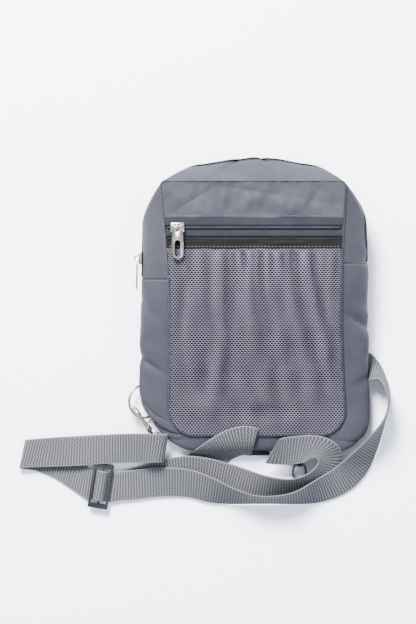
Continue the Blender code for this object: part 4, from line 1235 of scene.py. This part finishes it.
    def coil(self, wardrobe: Wardrobe) -> None:
        """The pocket zip's coil, straight across the front."""
        y = np.array(self.zip_y)
        x = np.arange(self.shape.front.edge(y, -1.0) + self.coil_end, self.shape.front.edge(y, 1.0) - self.coil_end,
                      self.coil_pitch)
        rows = np.stack([x, np.full_like(x, self.zip_y), np.full_like(x, self.coil_z)], axis=1)
        teeth = zip_teeth("pocket_coil", rows, np.array([0.0, 1.0, 0.0]), UP)
        wardrobe.dress(teeth, "zip_coil", "zip_coil", "pocket_zip_coil")

    def across(self, y: float, height: Callable[[Array, Array], Array]) -> Array:
        """Points straight across the front at one y."""
        at_y, inset = np.array(y), 2.0 * MM
        x = np.linspace(self.shape.front.edge(at_y, -1.0) + inset, self.shape.front.edge(at_y, 1.0) - inset, 300)
        return np.stack([x, np.full_like(x, y), height(x, np.full_like(x, y))], axis=1)

    def sewing(self, wardrobe: Wardrobe) -> None:
        """The stitches across the front, and the rolled seam round it."""
        high = lambda x, y: self.shape.front_height(y)
        rows = [
            ("yoke_stitches", self.yoke_low + 1.6 * MM, lambda x, y: self.yoke_height(x, y) + 0.1 * MM,
             "thread_light", 2.9),
            ("tape_stitches", self.tape_low + 1.5 * MM, lambda x, y: high(x, y) - 0.1 * MM, "dark_thread_and_seam_shadow", 2.9),
            ("band_stitches_top", self.band_top - 1.6 * MM, lambda x, y: high(x, y) + 0.3 * MM, "dark_thread_and_seam_shadow", 3.0),
            ("band_stitches_low", self.band_low + 1.9 * MM, lambda x, y: high(x, y) + 0.3 * MM, "thread_light", 3.0),
        ]
        for name, y, height, finish, pitch in rows:
            row = stitch_line(name, self.across(y, height), UP, pitch * MM, (pitch - 1.1) * MM, 0.27 * MM)
            wardrobe.dress(row, finish, "nylon")
        p = np.linspace(0.0, 12.0, 1000, endpoint=False)
        x, y = self.shape.front.point(p)
        s = self.shape.run(p)
        roll = 0.16 * MM * np.sin(s * math.tau / (7.2 * MM) + 1.6 * np.sin(s / (17 * MM)))
        path = np.stack([x, y, self.shape.front_height(y) - 0.75 * MM + roll], axis=1)
        welt = tube_piece("front_seam", path, 0.85 * MM, 10, loop=True)
        wardrobe.dress(welt, "grey_nylon", "nylon")
        # A dark cord just inside the rolled seam, all the way round: it stands for the seam's stitching and paints
        # the shadow in the seam's crease (painted shadow).
        inwards = unit(np.stack([-x, -(y + 3 * MM), 0 * x], axis=1)) * 0.35 * MM
        edge = tube_piece("front_seam_thread_and_shadow", path + inwards + UP * 0.72 * MM, 0.34 * MM, 8, loop=True)
        wardrobe.dress(edge, "dark_thread_and_seam_shadow", "nylon")


@dataclass
class BackPad:
    """The padded back panel, with sewn channels, and the binding round it."""

    shape: BagShape
    channel: float = 38.0 * MM
    stitch_wide: float = 1.6 * MM
    stitch_deep: float = 1.1 * MM
    half_thick: float = 1.85 * MM
    mid_z: float = 2.05 * MM
    rows: int = 120
    cols: int = 56

    def build(self, wardrobe: Wardrobe) -> None:
        """Makes the pad as a flat tube of rings, one ring a row down the back.

        A ring's upper and lower points lie at the middle height plus or minus half the thickness times
        (1 - s^10)^0.5, with s from -1 to 1 across; sewn channels press the lower side in.

        Args:
            wardrobe: the finishes.
        """
        back, n = self.shape.back, self.cols
        y = np.linspace(back.top - 0.2 * MM, back.low + 0.2 * MM, self.rows)[:, None]
        a = np.concatenate([np.linspace(-1, 1, n), np.linspace(1, -1, n)[1:-1]])[None, :]
        side = np.concatenate([np.ones(n), -np.ones(n - 2)])[None, :]
        left, right = back.edge(y, -1.0) + 0.3 * MM, back.edge(y, 1.0) - 0.3 * MM
        x = left + (right - left) * (a + 1.0) / 2.0
        end = np.clip(1.0 - np.abs((y + 1.5 * MM) / (101.6 * MM)) ** 24, 0.0, 1.0) ** 0.5
        full = (1.0 - np.abs(a) ** 10) ** 0.5 * end
        groove = bell(np.mod(x + 0.5 * self.channel, self.channel), self.channel / 2, self.stitch_wide)
        groove += bell(np.mod(y + 0.5 * self.channel, self.channel), self.channel / 2, self.stitch_wide)
        half = self.half_thick * full - self.stitch_deep * np.clip(groove, 0, 1) * (side < 0) * full
        z = self.mid_z + side * half + 0.0 * x
        at = np.stack([x, np.broadcast_to(y, x.shape), z], axis=-1)
        pad = face_outwards(grid_piece("back_pad", at, cloth_uv(at), wrap=True, caps=True))
        wardrobe.dress(pad, "back_air_mesh", "back_pad", "back_panel")
        p = np.linspace(0.0, 12.0, 800, endpoint=False)
        bx, by = back.point(p)
        path = np.stack([bx, by, np.full_like(bx, 3.1 * MM)], axis=1)
        binding = tube_piece("back_binding", path, 1.5 * MM, 10, loop=True)
        wardrobe.dress(binding, "pad_binding", "back_pad")


# ---- webbing ------------------------------------------------------------------
@dataclass
class Ribbon:
    """Flat webbing carried along stations of x, y, z in mm, the plan angle of its width and its tilt."""

    name: str
    stations: Array
    width: float = 25.0 * MM
    thickness: float = 1.05 * MM
    per_span: int = 10
    step: float = 1.0 * MM

    def rows(self) -> Array:
        """Centre line and angles, in metres and degrees, at even steps."""
        rows = curve_through(np.asarray(self.stations, dtype=float), self.per_span)
        rows[:, :3] *= MM
        return resample(rows, self.step)

    def widths(self, rows: Array) -> Array:
        """The width's direction: (cos tilt cos turn, cos tilt sin turn, sin tilt)."""
        turn, tilt = np.radians(rows[:, 3]), np.radians(rows[:, 4])
        return np.stack([np.cos(tilt) * np.cos(turn), np.cos(tilt) * np.sin(turn), np.sin(tilt)], axis=1)

    def length(self) -> float:
        """Length of the centre line."""
        return float(length_along(self.rows())[-1])

    def section(self) -> Array:
        """The webbing's cross-section: a flat bar with soft edges, as (across, up) from -1 to 1."""
        x = np.array([-1.0, -0.985, -0.95, -0.8, -0.5, -0.17, 0.17, 0.5, 0.8, 0.95, 0.985, 1.0])
        z = np.array([0.0, 0.75, 1.0, 0.93, 0.97, 0.95, 0.95, 0.97, 0.93, 1.0, 0.75, 0.0])
        return np.vstack([np.column_stack([x, z]), np.column_stack([x[-2:0:-1], -z[-2:0:-1]])])

    def build(self, backwards: bool = False) -> bpy.types.Object:
        """Carries the section along the centre line.

        Args:
            backwards: True to run the line from its last station to its first.

        Returns:
            The strap, closed at both ends.
        """
        rows = self.rows()[::-1] if backwards else self.rows()
        centre, across = rows[:, :3], self.widths(rows)
        ahead = unit(np.gradient(centre, axis=0))
        up = unit(np.cross(ahead, across))
        run = length_along(centre)
        edge = 1.0 + 0.006 * np.sin(run / (9 * MM))
        section = self.section()
        at = (centre[:, None, :]
              + across[:, None, :] * (section[None, :, :1] * self.width / 2.0 * edge[:, None, None])
              + up[:, None, :] * (section[None, :, 1:] * self.thickness / 2.0))
        uv = np.stack(np.broadcast_arrays(section[None, :, 0] * self.width / 2.0, run[:, None]), axis=-1)
        return face_outwards(grid_piece(self.name, at, uv, wrap=True, caps=True))

    def tack(self, name: str, place: float, length: float, half: float, side: float,
             pitch: float = 1.5 * MM) -> bpy.types.Object:
        """A sewn box with a cross on the strap.

        Args:
            name: the piece's name.
            place: distance along the strap to its middle.
            length: its length along the strap.
            half: half its width.
            side: 1 for the strap's upper face, -1 for the lower one.
            pitch: from stitch to stitch.

        Returns:
            The stitches.
        """
        rows = self.rows()
        run = length_along(rows)
        a, b = length / 2.0, half
        corners = np.array([(-a, -b), (-a, b), (a, b), (a, -b), (-a, -b), (a, b), (-a, b), (a, -b)])
        line = resample(np.column_stack([corners, np.zeros(len(corners))]), pitch)
        centre = np.stack([np.interp(place + line[:, 0], run, rows[:, k]) for k in range(5)], axis=1)
        across = self.widths(centre)
        ahead = unit(np.stack([np.interp(place + line[:, 0] + 0.5 * MM, run, rows[:, k]) for k in range(3)], axis=1)
                     - centre[:, :3] + 1e-9)
        up = unit(np.cross(ahead, across)) * side
        at = centre[:, :3] + across * line[:, 1:2] + up * (self.thickness / 2.0 + 0.1 * MM)
        return dashes(name, 0.5 * (at[1:] + at[:-1]), at[1:] - at[:-1], up[1:], pitch * 0.75, 0.26 * MM, 0.8)


@dataclass
class Straps:
    """The shoulder strap in its two lengths, the short strap over the lower edge, and the small tabs.

    Places are in millimetres and angles in degrees, apart from the three lengths of the sewn boxes.
    """

    glide_at: tuple[float, float] = (-128.2, -150.4)
    glide_turn: float = -9.0
    wrap: float = 2.4
    bar_z: float = 5.4
    long_start: tuple[Station, ...] = (
        (-95.0, -118.4, 9.6, 88, 11), (-88.0, -118.5, 8.3, 82, 11), (-82.0, -118.5, 8.1, 80, 11),
        (-77.0, -118.5, 9.2, 80, 11), (-73.8, -118.5, 12.4, 80, 11), (-77.0, -118.5, 15.6, 80, 11),
        (-82.0, -118.5, 15.8, 80, 11), (-88.0, -118.5, 14.8, 84, 11), (-95.0, -118.4, 12.8, 88, 11),
        (-106.0, -118.6, 10.8, 90, 9), (-122.0, -119.4, 8.8, 90, 5), (-145.0, -121.0, 6.6, 88, 0),
        (-165.0, -121.9, 5.6, 84, 0), (-184.0, -122.9, 5.6, 76, 0), (-191.5, -123.6, 5.4, 76, 0),
        (-193.6, -123.9, 3.2, 78, 0), (-191.5, -124.2, 1.1, 80, 0), (-180.0, -126.0, 0.9, 80, 0),
        (-165.0, -132.0, 0.9, 76, 0), (-152.0, -140.0, 1.2, 74, 0), (-144.0, -145.4, 2.2, 78, 0))
    long_glide: tuple[tuple[float, float], ...] = (
        (-10.0, 3.3), (-7.4, 3.3), (-5.6, 3.5), (-4.4, 5.0), (-3.5, 7.1), (-1.9, 8.9), (0.0, 9.4), (1.9, 8.9),
        (3.4, 7.2), (4.6, 5.2), (5.6, 3.75), (7.2, 3.4), (10.0, 3.3))
    long_end: tuple[Station, ...] = (
        (-112.0, -150.6, 3.2, 88, 1), (-100.0, -149.6, 3.2, 92, 3), (-78.4, -147.2, 3.9, 92, 8),
        (-55.6, -148.2, 5.0, 88, 15), (-36.9, -153.4, 8.4, 82, 30), (-20.3, -158.1, 11.2, 82, 52),
        (0.4, -161.4, 12.8, 86, 70), (21.2, -161.4, 12.8, 92, 70), (37.8, -159.3, 11.4, 100, 58),
        (54.4, -154.3, 8.2, 108, 34), (72.6, -145.4, 5.4, 122, 20), (85.9, -133.0, 7.6, 142, 30),
        (97.2, -116.4, 11.6, 152, 56), (107.5, -97.0, 13.2, 160, 80), (112.0, -82.3, 13.3, 180, 83),
        (110.6, -68.4, 13.0, 205, 80), (105.6, -57.6, 12.4, 232, 70), (100.5, -53.5, 10.2, 250, 48),
        (96.5, -51.5, 5.5, 262, 22), (92.0, -50.6, 3.3, 268, 7), (85.0, -50.0, 2.6, 270, 3),
        (78.2, -50.0, 2.2, 270, 0))
    anchor_glide: tuple[tuple[float, float], ...] = (
        (1.7, 7.1), (2.6, 5.6), (3.6, 3.9), (5.0, 2.4), (7.0, 1.9), (10.0, 1.6))
    anchor_end: tuple[Station, ...] = (
        (-108.0, -149.6, 1.2, 90, 1), (-94.0, -146.4, 1.4, 96, 3), (-79.0, -142.0, 2.4, 100, 6),
        (-66.0, -138.6, 4.2, 98, 11), (-54.0, -137.2, 5.2, 92, 14), (-41.0, -138.8, 5.2, 84, 13),
        (-28.0, -142.4, 4.4, 78, 9), (-12.0, -147.4, 3.6, 75, 10), (3.0, -151.2, 6.0, 80, 24),
        (18.0, -152.8, 8.8, 86, 38), (32.0, -153.0, 9.4, 98, 42), (45.5, -149.5, 9.4, 112, 40),
        (56.5, -142.5, 9.8, 134, 36), (62.5, -134.0, 11.0, 158, 32), (62.5, -125.8, 13.2, 184, 26),
        (56.8, -120.4, 16.6, 212, 8), (46.0, -119.0, 17.6, 246, -6), (34.0, -120.0, 16.4, 262, -14),
        (24.0, -120.8, 15.6, 264, -20), (14.5, -121.2, 15.0, 240, -22))
    short: tuple[Triple, ...] = (
        (-66.0, -146.0, 112), (-56.0, -140.0, 116), (-47.0, -133.5, 120), (-38.0, -127.0, 122),
        (-30.0, -121.2, 120), (-22.0, -116.4, 113), (-14.0, -113.2, 102), (-6.5, -112.2, 90),
        (0.0, -113.8, 76))
    edge_y: tuple[float, ...] = (
        -200.0, -128.5, -126.0, -124.0, -122.0, -120.0, -117.0, -113.0, -108.0, -104.0, -98.0)
    edge_z: tuple[float, ...] = (0.75, 0.75, 1.8, 4.4, 8.4, 11.4, 13.8, 16.0, 17.6, 18.4, 19.8)
    ring_bar: Triple = (-86.5, -79.8, 2.6)
    pear_top: Triple = (37.8, -131.7, 3.6)
    hook_tack_at: float = 0.052
    anchor_tack_at: float = 0.0245
    tack_half: float = 9.5 * MM

    def glide(self, u: float, z: float) -> Station:
        """A station in the adjuster, u mm along it from its middle."""
        turn = math.radians(self.glide_turn)
        return (self.glide_at[0] + math.cos(turn) * u, self.glide_at[1] + math.sin(turn) * u, z,
                90.0 + self.glide_turn, 0.0)

    def long_strap(self) -> Ribbon:
        """The strap from the hook, back on itself, through the adjuster and round to the side seam."""
        middle = [self.glide(u, z) for u, z in self.long_glide]
        return Ribbon("shoulder_strap", np.array([*self.long_start, *middle, *self.long_end], dtype=float))

    def anchor_strap(self) -> Ribbon:
        """The strap sewn round the adjuster's middle bar, which runs under the long one and curls up."""
        turns = np.radians(-90.0 - 30.0 * np.arange(7))
        wrap = [self.glide(self.wrap * math.cos(a), self.bar_z + self.wrap * math.sin(a)) for a in turns]
        head = [self.glide(3.2, 1.3), self.glide(1.6, 2.5)]
        tail = [self.glide(u, z) for u, z in self.anchor_glide]
        return Ribbon("anchor_strap", np.array([*head, *wrap, *tail, *self.anchor_end], dtype=float))

    def draped(self) -> tuple[bpy.types.Object, float]:
        """The short strap, which takes the height of the bag's lower edge at every point.

        Returns:
            The piece and its length.
        """
        half_width, half_thick, columns = 12.5, 0.5, 26
        rows = curve_through(np.asarray(self.short, dtype=float), 10)
        turn = np.radians(rows[:, 2])
        reach = half_width * np.linspace(-1.0, 1.0, columns)
        x = rows[:, 0:1] + np.cos(turn)[:, None] * reach
        y = rows[:, 1:2] + np.sin(turn)[:, None] * reach
        z = np.interp(y, self.edge_y, self.edge_z)
        top = np.stack([x, y, z + half_thick], axis=-1) * MM
        low = np.stack([x, y, z - half_thick], axis=-1)[:, ::-1] * MM
        at = np.concatenate([top, low[:, 1:-1]], axis=1)
        centre = np.column_stack([rows[:, 0], rows[:, 1], np.interp(rows[:, 1], self.edge_y, self.edge_z)]) * MM
        run = length_along(centre)
        u = np.concatenate([reach, reach[::-1][1:-1]]) * MM
        uv = np.stack(np.broadcast_arrays(u[None, :], run[:, None]), axis=-1)
        return face_outwards(grid_piece("short_strap", at, uv, wrap=True, caps=True)), float(run[-1])

    def tabs(self) -> list[tuple[Ribbon, str, str]]:
        """The folded tabs: the carry ring's, the one at the bottom seam and the pear ring's."""
        bx, y, bz = self.ring_bar
        r = 1.95
        a = np.radians(np.linspace(75.0, 285.0, 7))
        ring = [(-76.6, y, 2.35, 90, 0), (-79.0, y, 2.35, 90, 0), (-82.0, y, 3.1, 90, 0)]
        ring += [(bx + r * math.cos(t), y, bz + r * math.sin(t), 90, 0) for t in a]
        ring += [(-82.0, y, 0.9, 90, 0), (-79.0, y, 0.9, 90, 0), (-76.6, y, 0.9, 90, 0)]
        x = 3.0
        low = [(x, -104.5, 2.6, 0, 0), (x, -112.0, 2.4, 0, 0), (x, -120.0, 2.4, 0, 0), (x, -123.6, 2.2, 0, 0),
               (x, -124.8, 1.5, 0, 0), (x, -123.6, 0.75, 0, 0), (x, -120.0, 0.7, 0, 0), (x, -112.0, 0.7, 0, 0),
               (x, -104.5, 0.7, 0, 0)]
        px, py, pz = self.pear_top
        b = np.radians(np.linspace(70.0, 270.0, 7))
        pear = [(px, py + 14.0, 14.6, 0, 0), (px, py + 9.0, 12.4, 0, 0), (px, py + 4.5, 8.4, 0, 0)]
        pear += [(px, py + 2.25 * math.cos(t), pz + 2.25 * math.sin(t), 0, 0) for t in b]
        pear += [(px, py + 4.5, 2.9, 0, 0), (px, py + 9.0, 9.6, 0, 0), (px, py + 14.0, 13.1, 0, 0)]
        make = lambda name, rows, wide: Ribbon(name, np.array(rows, dtype=float), wide * MM, 0.85 * MM, 8, 0.5 * MM)
        # The low tab's dark webbing is painted shade: it lies in the shade under the bag's lower edge.
        return [(make("carry_ring_tab", ring, 16.0), "grey_webbing", "d_ring_tab"),
                (make("low_tab", low, 20.0), "dark_and_shaded_webbing", "bottom_tab"),
                (make("pear_ring_tab", pear, 4.0), "dark_and_shaded_webbing", "end_ring_tab")]

    def build(self, wardrobe: Wardrobe, metal: dict[str, bpy.types.Object]) -> None:
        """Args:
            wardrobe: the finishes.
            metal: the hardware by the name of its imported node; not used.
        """
        for ribbon, finish, node in self.tabs():
            wardrobe.dress(ribbon.build(), finish, "webbing", node)
        long = self.long_strap()
        strap = wardrobe.dress(long.build(backwards=True), "grey_webbing", "webbing", "strap_long")
        tack = long.tack("hook_end_tack", self.hook_tack_at, 9.0 * MM, self.tack_half, 1.0)
        wardrobe.dress(tack, "thread_light", "webbing")
        anchor = self.anchor_strap()
        second = wardrobe.dress(anchor.build(), "grey_webbing", "webbing", "strap_anchor")
        sewn = anchor.tack("adjuster_tack", self.anchor_tack_at, 5.0 * MM, self.tack_half, -1.0)
        wardrobe.dress(sewn, "thread_light", "webbing")
        long.rows()[::-1, :3].tolist()
        tuple(anchor.rows()[0, :3])
        anchor.rows()[:, :3].tolist()
        LOG.info("long strap %.4f m, anchor strap %.4f m", long.length(), anchor.length())
        short, length = self.draped()
        wardrobe.dress(short, "grey_webbing", "webbing", "strap_short")
        LOG.info("short strap %.4f m", length)


# ---- hardware -----------------------------------------------------------------
@dataclass
class Hardware:
    """The metal and plastic parts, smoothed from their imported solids."""

    finishes: tuple[tuple[str, str, str, str], ...] = (
        ("d_ring", "carry_ring", "nickel", "nickel"),
        ("hook_body", "hook", "nickel", "nickel"),
        ("hook_gate", "gate", "nickel", "nickel"),
        ("hook_swivel_eye", "bag", "nickel", "nickel"),
        ("main_zip_slider", "main_slider", "nickel", "nickel"),
        ("main_zip_puller", "main_puller", "nickel", "nickel"),
        ("pocket_zip_slider", "pocket_slider", "nickel", "nickel"),
        ("pocket_zip_puller", "pocket_puller", "nickel", "nickel"),
        ("end_ring", "end_ring_body", "gunmetal", "gunmetal"),
        ("strap_slider", "bag", "adjuster_plastic", "plastic"),
    )

    def polish(self, node: str) -> bpy.types.Object:
        """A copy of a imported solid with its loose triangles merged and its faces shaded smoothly.

        Args:
            node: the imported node's name.

        Returns:
            The copy.
        """
        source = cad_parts[node]
        obj = face_outwards(place_object(node + "_finish", source.data.copy()))
        obj.data.polygons.foreach_set("use_smooth", np.full(len(obj.data.polygons), True))
        obj.data.set_sharp_from_angle(angle=math.radians(38.0))
        return obj

    def build(self, wardrobe: Wardrobe) -> dict[str, bpy.types.Object]:
        """Makes and dresses the hardware, and gives it back by node name."""
        made = {}
        for node, body, finish, slot in self.finishes:
            made[node] = wardrobe.dress(self.polish(node), finish, slot, node, body=body)
        return made


# ---- the set ------------------------------------------------------------------
@dataclass
class Studio:
    """Floor, lights and camera."""

    aim: tuple[float, float] = (-0.0386, -0.0051)
    height: float = 2.2
    lens: float = 151.5
    floor_size: float = 6.0

    def floor(self) -> None:
        """A wide pale cloth floor with a very slight unevenness."""
        n = 60
        side = np.linspace(-1.0, 1.0, n) * self.floor_size / 2
        x, y = np.meshgrid(side, side)
        at = np.stack([x, y, np.full_like(x, -0.0002)], axis=-1)
        obj = grid_piece("floor", at, at[..., :2])
        g = Graph("pale_floor")
        tone = g.mix(g.noise(3.0, 2.0), linear(229, 231, 240), linear(223, 226, 237))
        obj.data.materials.append(g.finish(base_color=tone, roughness=0.9, specular_ior_level=0.2))

    def lamp(self, name: str, place: Triple, aim: Triple, size: float, power: float, tone: Triple) -> None:
        """A square soft light that faces a point."""
        data = bpy.data.lights.new(name, "AREA")
        data.size = size
        data.energy = power
        data.color = tone
        obj = place_object(name, data)
        ahead = np.array(aim) - np.array(place)
        obj.location = place
        obj.rotation_euler = (math.atan2(math.hypot(ahead[0], ahead[1]), -ahead[2]), 0.0,
                              math.atan2(-ahead[0], ahead[1]) if abs(ahead[0]) + abs(ahead[1]) > 0 else 0.0)

    def build(self) -> None:
        """Makes the floor, the lights, the even surroundings and the camera."""
        self.floor()
        self.lamp("key", (-0.62, 1.45, 1.45), (0.0, 0.0, 0.0), 0.8, 440.0, (1.0, 0.985, 0.96))
        self.lamp("fill", (1.5, -1.0, 1.7), (0.0, 0.0, 0.0), 1.8, 60.0, (0.94, 0.96, 1.0))
        world = bpy.data.worlds.new("studio")
        bpy.context.scene.world = world
        world.use_nodes = True
        back = world.node_tree.nodes["Background"]
        back.inputs["Color"].default_value = (0.82, 0.875, 1.0, 1.0)
        back.inputs["Strength"].default_value = 1.6
        camera = bpy.data.cameras.new("camera")
        camera.lens = self.lens
        camera.sensor_width = 36.0
        camera.clip_end = 50.0
        obj = place_object("camera", camera)
        obj.location = (self.aim[0], self.aim[1], self.height)
        bpy.context.scene.camera = obj


def main() -> None:
    """Builds the pouch in order: camera, hardware, straps, then the bag."""
    logging.basicConfig(level=logging.INFO, format="%(message)s")
    Studio().build()
    wardrobe = Wardrobe()
    metal = Hardware().build(wardrobe)
    Straps().build(wardrobe, metal)
    shape = BagShape()
    SideWall(shape).build(wardrobe)
    FrontFace(shape).build(wardrobe)
    BackPad(shape).build(wardrobe)


if __name__ == "__main__":
    main()
